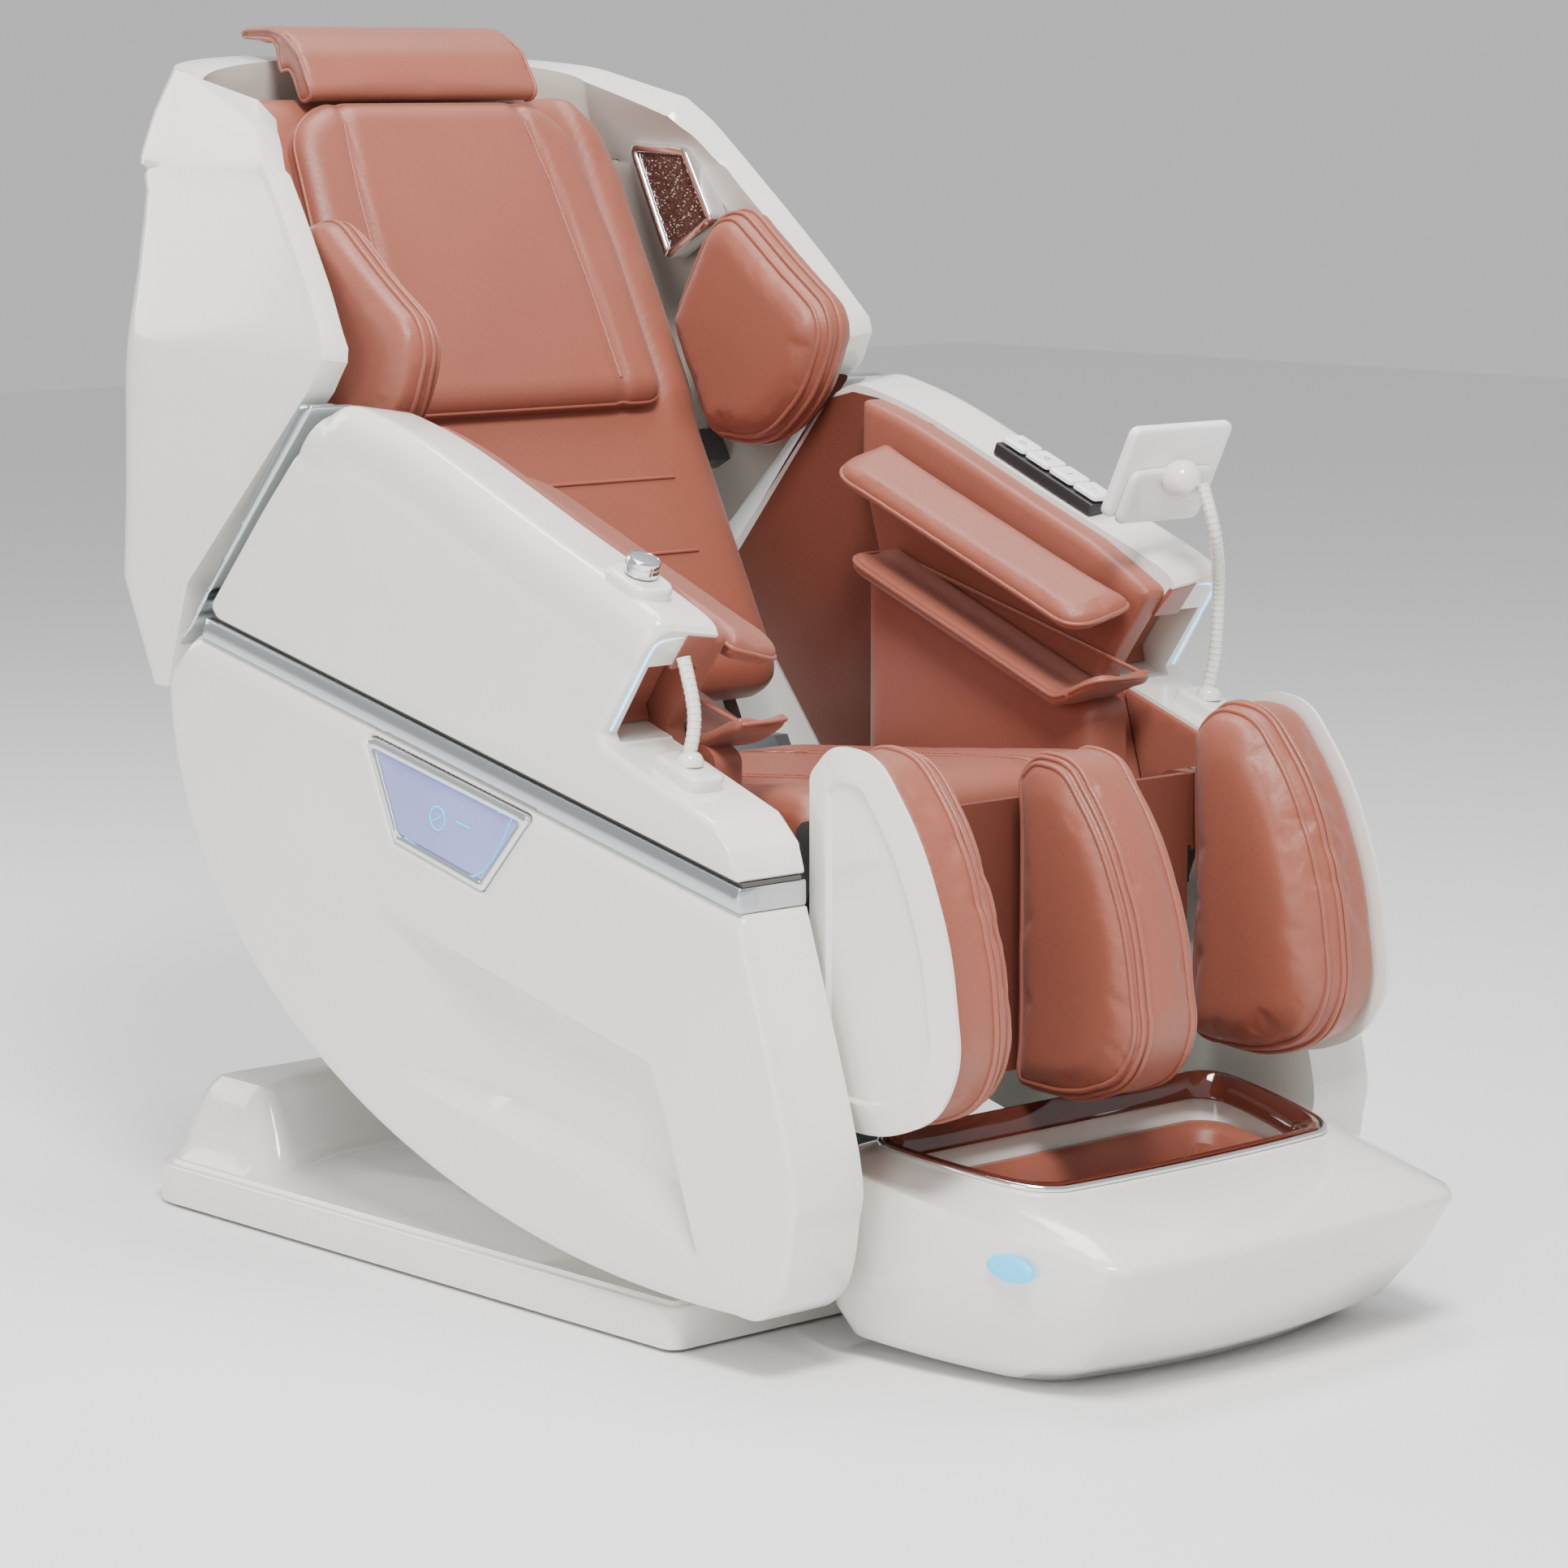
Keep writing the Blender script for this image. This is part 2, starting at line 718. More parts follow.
def path_tree(kind: Path, finish: Finish) -> tuple[bpy.types.NodeTree, dict[str, str]]:
    """A Geometry Nodes tree that runs one kind of work along edges.

    Args:
        kind: Piping, stitches or ribs.
        finish: What it is made of.

    Returns:
        The tree, and its inputs' identifiers by name.
    """
    tree = bpy.data.node_groups.new(kind.value + "_path", "GeometryNodeTree")
    face = tree.interface
    face.new_socket("Geometry", in_out="INPUT", socket_type="NodeSocketGeometry")
    names = {}
    for label, value in (("Radius", 0.003), ("Spacing", 0.004), ("Length", 0.003)):
        socket = face.new_socket(label, in_out="INPUT", socket_type="NodeSocketFloat")
        socket.default_value = value
        names[label] = socket.identifier
    face.new_socket("Geometry", in_out="OUTPUT", socket_type="NodeSocketGeometry")
    nodes = tree.nodes
    links = tree.links
    enter = nodes.new("NodeGroupInput")
    leave = nodes.new("NodeGroupOutput")
    to_curve = nodes.new("GeometryNodeMeshToCurve")
    links.new(enter.outputs["Geometry"], to_curve.inputs["Mesh"])
    cut = nodes.new("GeometryNodeResampleCurve")
    cut.mode = "LENGTH"
    links.new(to_curve.outputs["Curve"], cut.inputs["Curve"])
    links.new(enter.outputs["Spacing"], cut.inputs["Length"])
    if kind is Path.PIPING:
        ring = nodes.new("GeometryNodeCurvePrimitiveCircle")
        ring.inputs["Resolution"].default_value = 8
        links.new(enter.outputs["Radius"], ring.inputs["Radius"])
        made = nodes.new("GeometryNodeCurveToMesh")
        made.inputs["Fill Caps"].default_value = True
        links.new(cut.outputs["Curve"], made.inputs["Curve"])
        links.new(ring.outputs["Curve"], made.inputs["Profile Curve"])
        result = made.outputs["Mesh"]
    else:
        bead = nodes.new("GeometryNodeMeshCylinder")
        bead.inputs["Vertices"].default_value = 6 if kind is Path.STITCH else 16
        links.new(enter.outputs["Radius"], bead.inputs["Radius"])
        links.new(enter.outputs["Length"], bead.inputs["Depth"])
        tangent = nodes.new("GeometryNodeInputTangent")
        aim = nodes.new("FunctionNodeAlignRotationToVector")
        aim.axis = "Z"
        links.new(tangent.outputs["Tangent"], aim.inputs["Vector"])
        put = nodes.new("GeometryNodeInstanceOnPoints")
        links.new(cut.outputs["Curve"], put.inputs["Points"])
        links.new(bead.outputs["Mesh"], put.inputs["Instance"])
        links.new(aim.outputs["Rotation"], put.inputs["Rotation"])
        result = put.outputs["Instances"]
    real = nodes.new("GeometryNodeRealizeInstances")
    links.new(result, real.inputs["Geometry"])
    smooth = nodes.new("GeometryNodeSetShadeSmooth")
    links.new(real.outputs["Geometry"], smooth.inputs["Geometry"])
    dress = nodes.new("GeometryNodeSetMaterial")
    dress.inputs["Material"].default_value = finish.material()
    links.new(smooth.outputs["Geometry"], dress.inputs["Geometry"])
    links.new(dress.outputs["Geometry"], leave.inputs["Geometry"])
    return tree, names


def path_work(
    name: str, kind: Path, lines: Sequence[tuple[Sequence, bool]], finish: Finish,
    radius: float = 0.0026, spacing: float = 0.004, length: float = 0.003,
) -> bpy.types.Object:
    """Runs piping, stitches or ribs along lines, as one plain piece.

    Args:
        name: The piece's name.
        kind: What runs along the lines.
        lines: (points, closed) for each line.
        finish: Its finish.
        radius: Radius of the piping, stitch or rib.
        spacing: Distance between samples.
        length: Length of one stitch or rib.

    Returns:
        The piece.
    """
    verts, edges = [], []
    for points, closed in lines:
        start = len(verts)
        verts += [tuple(p) for p in points]
        count = len(points)
        edges += [(start + i, start + (i + 1) % count) for i in range(count if closed else count - 1)]
    mesh = bpy.data.meshes.new(name + "_path")
    mesh.from_pydata(verts, edges, [])
    guide = bpy.data.objects.new(name + "_path", mesh)
    add_to_scene(guide)
    tree, names = path_tree(kind, finish)
    modifier = guide.modifiers.new("work", "NODES")
    modifier.node_group = tree
    for label, value in (("Radius", radius), ("Spacing", spacing), ("Length", length)):
        modifier[names[label]] = value
    result = baked(guide)
    return piece(name, result, finish, 60)


def fleck_work(name: str, mesh: bpy.types.Mesh, finish: Finish, density: float, size: float, seed: int) -> bpy.types.Object:
    """Scatters small flakes over a surface with Geometry Nodes.

    Args:
        name: The piece's name.
        mesh: The surface.
        finish: The flakes' finish.
        density: Flakes per square metre.
        size: Radius of a flake.
        seed: Seed of the scatter.

    Returns:
        The piece.
    """
    guide = bpy.data.objects.new(name + "_field", mesh)
    add_to_scene(guide)
    tree = bpy.data.node_groups.new("fleck_field", "GeometryNodeTree")
    tree.interface.new_socket("Geometry", in_out="INPUT", socket_type="NodeSocketGeometry")
    amount = tree.interface.new_socket("Density", in_out="INPUT", socket_type="NodeSocketFloat")
    reach = tree.interface.new_socket("Size", in_out="INPUT", socket_type="NodeSocketFloat")
    tree.interface.new_socket("Geometry", in_out="OUTPUT", socket_type="NodeSocketGeometry")
    nodes, links = tree.nodes, tree.links
    enter = nodes.new("NodeGroupInput")
    leave = nodes.new("NodeGroupOutput")
    spread = nodes.new("GeometryNodeDistributePointsOnFaces")
    spread.inputs["Seed"].default_value = seed
    links.new(enter.outputs["Geometry"], spread.inputs["Mesh"])
    links.new(enter.outputs["Density"], spread.inputs["Density"])
    flake = nodes.new("GeometryNodeMeshCircle")
    flake.fill_type = "NGON"
    flake.inputs["Vertices"].default_value = 5
    links.new(enter.outputs["Size"], flake.inputs["Radius"])
    vary = nodes.new("FunctionNodeRandomValue")
    vary.data_type = "FLOAT_VECTOR"
    vary.inputs[0].default_value = (0.25, 0.15, 1.0)
    vary.inputs[1].default_value = (1.3, 0.6, 1.0)
    vary.inputs["Seed"].default_value = seed + 1
    put = nodes.new("GeometryNodeInstanceOnPoints")
    links.new(spread.outputs["Points"], put.inputs["Points"])
    links.new(spread.outputs["Rotation"], put.inputs["Rotation"])
    links.new(flake.outputs["Mesh"], put.inputs["Instance"])
    links.new(vary.outputs[0], put.inputs["Scale"])
    real = nodes.new("GeometryNodeRealizeInstances")
    links.new(put.outputs["Instances"], real.inputs["Geometry"])
    dress = nodes.new("GeometryNodeSetMaterial")
    dress.inputs["Material"].default_value = finish.material()
    links.new(real.outputs["Geometry"], dress.inputs["Geometry"])
    links.new(dress.outputs["Geometry"], leave.inputs["Geometry"])
    modifier = guide.modifiers.new("flecks", "NODES")
    modifier.node_group = tree
    modifier[amount.identifier] = density
    modifier[reach.identifier] = size
    return piece(name, baked(guide), finish, 60)


def plump(mesh: bpy.types.Mesh, cap: float, voxel: float = 0.006, pressure: float = 4.0) -> bpy.types.Mesh:
    """Fills a cushion with a short cloth run under pressure, its swelling capped.

    Args:
        mesh: The closed cushion.
        cap: The furthest that a point may move.
        voxel: Size of the remesh.
        pressure: Pressure inside.
    """
    scene = bpy.context.scene
    obj = bpy.data.objects.new("plumping", mesh)
    scene.collection.objects.link(obj)
    remesh = obj.modifiers.new("remesh", "REMESH")
    remesh.mode = "VOXEL"
    remesh.voxel_size = voxel
    even = baked(obj)
    obj = bpy.data.objects.new("plumping", even)
    scene.collection.objects.link(obj)
    rest = np.empty(len(even.vertices) * 3)
    even.vertices.foreach_get("co", rest)
    rest = rest.reshape(-1, 3)
    cloth = obj.modifiers.new("cloth", "CLOTH")
    cloth.settings.use_pressure = True
    cloth.settings.uniform_pressure_force = pressure
    cloth.settings.effector_weights.gravity = 0
    cloth.settings.quality = 4
    for number in range(1, 21):
        scene.frame_set(number)
    graph = bpy.context.evaluated_depsgraph_get()
    grown = obj.evaluated_get(graph).to_mesh()
    after = np.empty(len(grown.vertices) * 3)
    grown.vertices.foreach_get("co", after)
    after = after.reshape(-1, 3)
    move = after - rest
    reach = np.linalg.norm(move, axis=1)
    move *= (np.minimum(reach, cap) / np.maximum(reach, 1e-9))[:, None]
    scene.frame_set(1)
    obj.modifiers.remove(cloth)
    even.vertices.foreach_set("co", (rest + move).ravel())
    even.update()
    finer = obj.modifiers.new("finer", "SUBSURF")
    finer.levels = finer.render_levels = 1
    return baked(obj)


def snap(points: Sequence, mesh: bpy.types.Mesh, out: float = 0.0) -> list[Vector]:
    """The points moved to the nearest place on a mesh, and a little out of it.

    Args:
        points: Places near the mesh.
        mesh: The mesh.
        out: How far the points stand off the mesh.

    Returns:
        The moved points.
    """
    tree = BVHTree.FromPolygons([v.co for v in mesh.vertices], [p.vertices for p in mesh.polygons])
    made = []
    for p in points:
        place, normal, _, _ = tree.find_nearest(Vector(p))
        made.append(place + normal * out)
    return made


def edge_line(outline: Line, offset: float, x: float, step: float = 0.006) -> list[Vector]:
    """A side-plane outline, inset and stood at x."""
    loop = turned(resample(outline, step), True)
    moved = inset(loop, offset) if offset > 0 else loop
    return [Vector((x, y, z)) for y, z in moved]


ARM_CROWN = ((-0.232, 0.706), (-0.205, 0.728), (-0.04, 0.793), (0.13, 0.862), (0.22, 0.889), (0.262, 0.895), (0.29, 0.885))
NOSE_TIP = (-0.232, 0.706)
NOSE_FOOT = (-0.158, 0.6)
DISPLAY = ((0.214, 0.5625), (-0.053, 0.506), (0.025, 0.422), (0.168, 0.456))


@dataclass
class SidePanel:
    """The white rocker-shaped side with its swept recess and display window."""

    depth: float = 0.09
    recess: float = 0.022
    edge: float = 0.009
    swoosh: Line = ((0.208, 0.39), (0.12, 0.368), (-0.06, 0.327), (-0.232, 0.288), (-0.256, 0.236), (-0.299, 0.114))
    wedge: Line = ((0.215, 0.232), (0.177, 0.213), (0.02, 0.187), (-0.109, 0.16), (-0.299, 0.1))

    def outline(self) -> list[Pair]:
        """The panel's outline in the side plane."""
        rocker = [(-0.303 + 0.864 * cos(a), 0.59 + 0.53 * sin(a)) for a in np.linspace(0, -pi / 2, 44)]
        front = [(-0.385, 0.062), (-0.418, 0.092), (-0.432, 0.15), (-0.432, 0.22)]
        front = flow([(-0.35, 0.0605)] + front + [(-0.358, strip_line(-0.358))], 5)
        return sides(rocker + front + [(0.514, strip_line(0.514))])

    def surface(self, points: Array, gap: Array) -> Array:
        """Height of the outer face: bevelled top, rounded rim, and the recess."""
        top_line = sides([(-0.358, strip_line(-0.358)), (0.514, strip_line(0.514))])
        below_top = distance(points, top_line)
        height = HALF - 0.001 - round_edge(gap, self.edge, 0.007)
        height -= 0.0055 * np.clip(1 - below_top / 0.021, 0, 1)
        region = np.array(sides(list(self.swoosh) + list(self.wedge)[::-1]))
        within = inside(points, region)
        fade = blend_in(0.225 + DATUM_SHIFT - points[:, 0], 0.0, 0.2)
        step = distance(points, np.array(sides(self.swoosh[:4]))) / 0.009
        leg = distance(points, np.array(sides(self.swoosh[3:]))) / 0.012
        lit = distance(points, np.array(sides(self.wedge)))
        wide = 0.008 + 0.042 * np.clip((0.2 + DATUM_SHIFT - points[:, 0]) / 0.45, 0, 1)
        share = np.clip(np.minimum(np.minimum(step, leg), lit / wide), 0, 1)
        height = np.where(within, height - self.recess * fade * share, height)
        border = distance(points, np.array(sides(DISPLAY)), True)
        raised = blend_in(border, 0.021, 0.016)
        return height + 0.0009 * raised

    def creases(self) -> list[Line]:
        """The recess's edges and the foot of its step, for the mesh to follow."""
        upper = np.array(sides(self.swoosh))
        lower = upper[:4] + np.array((-0.002, -0.0125))
        leg = upper[3:] + np.array((-0.0125, 0.0))
        return [[tuple(p) for p in line] for line in (upper, lower, leg[1:], np.array(sides(self.wedge)))]

    def make(self, name: str, sign: int) -> bpy.types.Object:
        """The panel on one side."""
        place = side_place(sign)
        window = rounded(sides(DISPLAY), 0.006)
        mesh = body_mesh(
            "panel", self.outline(), self.surface, level(HALF - self.depth), place,
            0.0075, (0.0006, 0.0016, 0.0032, 0.0055, 0.0095), holes=[window], creases=self.creases(),
        )
        obj = piece("side_panel_skin_" + name, mesh, PEARL, 34)
        settle(obj, "cabin", "white_shell", "side_panel_" + name)
        return obj


@dataclass
class TrimStrip:
    """The polished strip between the side panel and the arm."""

    tall: float = 0.03

    def make(self, name: str, sign: int) -> None:
        """The strip, with the dark joint above it."""
        front, rear = -0.357, 0.505
        line = [(front, 0.0008), (rear, 0.0008), (rear - 0.01, self.tall - 0.0045), (front, self.tall - 0.0045)]
        outline = rounded(sides([(y, strip_line(y) + up) for y, up in line]), 0.003)
        place = side_place(sign)

        def face(points: Array, gap: Array) -> Array:
            """A gently crowned face with a tight edge."""
            return HALF - 0.0035 - round_edge(gap, 0.014, 0.004) - round_edge(gap, 0.002, 0.001)

        mesh = body_mesh("strip", outline, face, level(SHELL_IN), place, 0.008, (0.0006, 0.0014, 0.004, 0.008))
        obj = piece("trim_strip_skin_" + name, mesh, CHROME, 50)
        settle(obj, "cabin", "satin_trim", "trim_strip_" + name)
        low = [
            (front + 0.002, self.tall - 0.004), (rear - 0.014, self.tall - 0.004), (rear - 0.014, self.tall - 0.0006),
            (front + 0.002, self.tall - 0.0006)
        ]
        joint = body_mesh(
            "joint", sides([(y, strip_line(y) + up) for y, up in low]), level(HALF - 0.012),
            level(SHELL_IN + 0.004), place, 0.02, (),
        )
        settle(piece("strip_joint_" + name, joint, SHADOW, 30), "cabin", "black_plastic")


@dataclass
class Arm:
    """The arm's shell with its overhanging nose, light line, recess and band."""

    ridge: float = 0.034
    fall: float = 0.024
    lean: float = 0.01

    def outline(self) -> list[Pair]:
        """The arm's outline in the side plane."""
        nose = [(-0.346, 0.508), (-0.318, 0.534), (-0.165, 0.588), NOSE_FOOT]
        corners = [(0.49, strip_line(0.49) + self.tall_gap()), (-0.356, strip_line(-0.356) + self.tall_gap())] + nose
        crown = flow(list(ARM_CROWN), 6)
        return rounded(sides(corners + crown), 0.004, 3, {0: 0.012, 2: 0.01, 3: 0.012, 6: 0.014})

    def tall_gap(self) -> float:
        """Height of the strip and its joint under the arm."""
        return STRIP_TALL

    def surface(self, points: Array, gap: Array) -> Array:
        """Height of the outer face: a soft ridge along the top, tight elsewhere."""
        crown = np.array(sides(flow(list(ARM_CROWN), 6)))
        nose = np.array(sides([(-0.318, 0.534), (-0.165, 0.588), NOSE_FOOT, NOSE_TIP]))
        bottom = np.array(sides([(-0.356, strip_line(-0.356) + STRIP_TALL), (0.49, strip_line(0.49) + STRIP_TALL)]))
        near_top = distance(points, crown)
        near_nose = distance(points, nose)
        height = HALF - 0.0015 - round_edge(near_top, self.ridge, self.fall)
        height -= round_edge(near_nose, 0.009, 0.006)
        height -= 0.005 * np.clip(1 - distance(points, bottom) / 0.016, 0, 1)
        crease = 0.0026 * np.exp(-(((near_top - 0.056) / 0.006) ** 2))
        return height - crease - round_edge(gap, 0.003, 0.002) - 0.004 * blend_in(near_top, 0.16, 0.03)

    def sloped(self, sign: int) -> Callable[[Array], Array]:
        """The change that drops the top plate towards the sitter.

        Args:
            sign: 1 on the left, -1 on the right.

        Returns:
            The change, for body_mesh.
        """
        crown = np.array(sides(flow(list(ARM_CROWN), 6)))

        def shape(verts: Array) -> Array:
            """Lowers points near the crown as they run inwards."""
            near = np.clip(1 - distance(verts[:, 1:], crown) / 0.05, 0, 1)
            inner = np.clip((HALF - self.fall - np.abs(verts[:, 0])) / 0.066, 0, 1)
            verts[:, 2] -= self.lean * near * inner
            return verts

        return shape

    def recess_outline(self) -> list[Pair]:
        """The hollow under the nose, cut from its front face."""
        return sides(
            [
                (-0.212, 0.662), (-0.192, 0.68), (-0.15, 0.668), (-0.118, 0.618), (-0.124, 0.6035), (-0.16, 0.5915),
                (-0.215, 0.58)
            ]
        )

    def make(self, name: str, sign: int) -> None:
        """The arm on one side."""
        place = side_place(sign)
        mesh = body_mesh(
            "arm", self.outline(), self.surface, level(SHELL_IN), place, 0.008,
            (0.0006, 0.0016, 0.0035, 0.007, 0.012, 0.019, 0.027), shape=self.sloped(sign),
        )
        shell = piece("arm_skin_" + name, mesh, PEARL, 34)
        cutter_mesh = body_mesh(
            "cutter", self.recess_outline(), level(0.386), level(0.3), place, 0.03, ()
        )
        cutter = piece("recess_cutter", cutter_mesh, PEARL, 34)
        cut = shell.modifiers.new("recess", "BOOLEAN")
        cut.operation = "DIFFERENCE"
        cut.solver = "EXACT"
        cut.object = cutter
        mesh = baked(shell)
        bpy.data.objects.remove(cutter, do_unlink=True)
        shell = piece("arm_skin_" + name, mesh, PEARL, 34)
        settle(shell, "cabin", "white_shell", "arm_shell_" + name)
        self.make_recess(name, sign, place)
        self.make_light(name, sign)
        self.make_band(name, place)

    def make_recess(self, name: str, sign: int, place: Matrix) -> None:
        """The leather that lines the hollow and the nose's inner corner."""
        back = rounded(
            sides(
                [
                    (-0.2, 0.674), (-0.19, 0.6795), (-0.151, 0.6675), (-0.119, 0.618), (-0.1245, 0.604), (-0.131, 0.603),
                    (-0.126, 0.619), (-0.155, 0.66)
                ]
            ),
            0.003
        )
        pad = body_mesh("lining", back, domed(0.3855, 0.003), level(0.321), place, 0.006, (0.001, 0.0025))
        settle(piece("recess_lining_" + name, pad, HIDE, 50), "cabin", "leather")
        tip, foot = Vector(side(*NOSE_TIP)), Vector(side(*NOSE_FOOT))
        run = (foot - tip).normalized()
        out = Vector((run.y, -run.x))
        corner = [
            tip + run * 0.004 + out * 0.0012, tip + run * 0.052 + out * 0.0012, tip + run * 0.052 - out * 0.004,
            tip + run * 0.006 - out * 0.004
        ]
        patch = body_mesh(
            "patch", rounded([tuple(p) for p in corner], 0.0012), domed(0.357, 0.0015), level(0.3195),
            place, 0.005, (0.0006, 0.0014), shape=self.sloped(sign),
        )
        settle(piece("nose_leather_" + name, patch, HIDE, 50), "cabin", "leather")

    def make_light(self, name: str, sign: int) -> None:
        """The light line on the nose's front face."""
        tip, foot = Vector(side(*NOSE_TIP)), Vector(side(*NOSE_FOOT))
        run = foot - tip
        out = Vector((run.normalized().y, -run.normalized().x)) * 0.0006

        def spot(x: float, share: float) -> Vector:
            """A point on the nose's face."""
            y, z = tip + run * share + out
            return Vector((sign * x, y, z))

        line = flow([(0.36, 0.085), (0.375, 0.095), (0.387, 0.12), (0.3925, 0.2), (0.3945, 0.6), (0.3955, 0.97)], 6)
        obj = path_work("arm_light_" + name, Path.PIPING, [([spot(x, s) for x, s in line], False)], LAMP, 0.0015, 0.004)
        settle(obj, "cabin", "display")

    def make_band(self, name: str, place: Matrix) -> None:
        """The satin band behind the arm."""
        outline = sides([(0.3, 0.893), (0.501, 0.671), (0.525, 0.642), (0.552, 0.618), (0.322, 0.893)])
        mesh = body_mesh(
            "band", rounded(outline, 0.006), domed(0.4055, 0.006, 0.004), level(0.35),
            place, 0.006, (0.0006, 0.0018, 0.004),
        )
        settle(piece("arm_band_skin_" + name, mesh, CHROME, 50), "cabin", "satin_trim", "arm_band_" + name)


@dataclass
class Display:
    """The lit window on the side: glass, frame, border, glow line and a plain mark."""

    def make(self, name: str, sign: int) -> None:
        """The window on one side."""
        place = side_place(sign)
        frame_line = np.array(resample(rounded(sides(DISPLAY), 0.008), 0.004))
        inner = inset(turned(frame_line, True), 0.0105)
        glass = body_mesh(
            "glass", [tuple(p) for p in inner], domed(
                HALF - 0.003, 0.003, 0.0008
            ), level(HALF - 0.011), place, 0.012, (0.001, 0.0025)
        )
        settle(piece("display_glass_" + name, glass, GLASS, 50), "cabin", "display", "display_" + name)
        rim_outer = [tuple(p) for p in inset(turned(frame_line, True), 0.0006)]
        rim = body_mesh(
            "rim", rim_outer, domed(HALF - 0.0008, 0.004, 0.0022), level(HALF - 0.01),
            place, 0.012, (0.0006, 0.0014), holes=[[tuple(p) for p in inset(turned(frame_line, True), 0.0102)]],
        )
        settle(piece("display_rim_" + name, rim, BRIGHT, 50), "cabin", "satin_trim")
        corners = sides(DISPLAY)
        middle = Vector((sum(y for y, _ in corners) / 4, sum(z for _, z in corners) / 4))
        pull = [tuple(Vector(p).lerp(middle, 0.22)) for p in corners]
        x = sign * (HALF - 0.0028)
        line = flow([tuple(Vector(pull[1]).lerp(Vector(pull[0]), 0.1)), pull[1], pull[2], pull[3]], 5)
        glow = [Vector((x, y, z)) for y, z in line]
        settle(path_work("display_glow_" + name, Path.PIPING, [(glow, False)], CYAN, 0.0009, 0.003), "cabin", "display")
        centre = middle + Vector((0.008, 0.002))
        ring = [
            Vector((x, centre.x + 0.012 * cos(a), centre.y + 0.012 * sin(a)))
            for a in np.linspace(0, 2 * pi, 40, endpoint=False)
        ]
        bar = [Vector((x, centre.x - 0.03, centre.y)), Vector((x, centre.x - 0.052, centre.y - 0.004))]
        dot = [Vector((x, centre.x + 0.006, centre.y - 0.003)), Vector((x, centre.x - 0.006, centre.y + 0.003))]
        settle(
            path_work("display_mark_" + name, Path.PIPING, [(ring, True), (bar, False), (dot, False)], CYAN, 0.001, 0.002),
            "cabin", "display"
        )


HOOD_ROWS = (
    (0.575, 0.392, 0.585, 0.6, 0.7, 0), (0.69, 0.396, 0.54, 0.652, 0.73, 0), (0.79, 0.396, 0.438, 0.64, 0.748, 0),
    (0.905, 0.392, 0.325, 0.64, 0.76, 0), (0.948, 0.388, 0.3, 0.64, 0.762, 0), (1.016, 0.37, 0.355, 0.645, 0.765, 0),
    (1.081, 0.353, 0.415, 0.655, 0.768, 0), (1.115, 0.344, 0.448, 0.664, 0.768, 0), (1.136, 0.34, 0.47, 0.688, 0.77, 0),
    (1.175, 0.322, 0.5, 0.685, 0.769, 0.015), (1.202, 0.303, 0.525, 0.668, 0.76, 0.05),
)


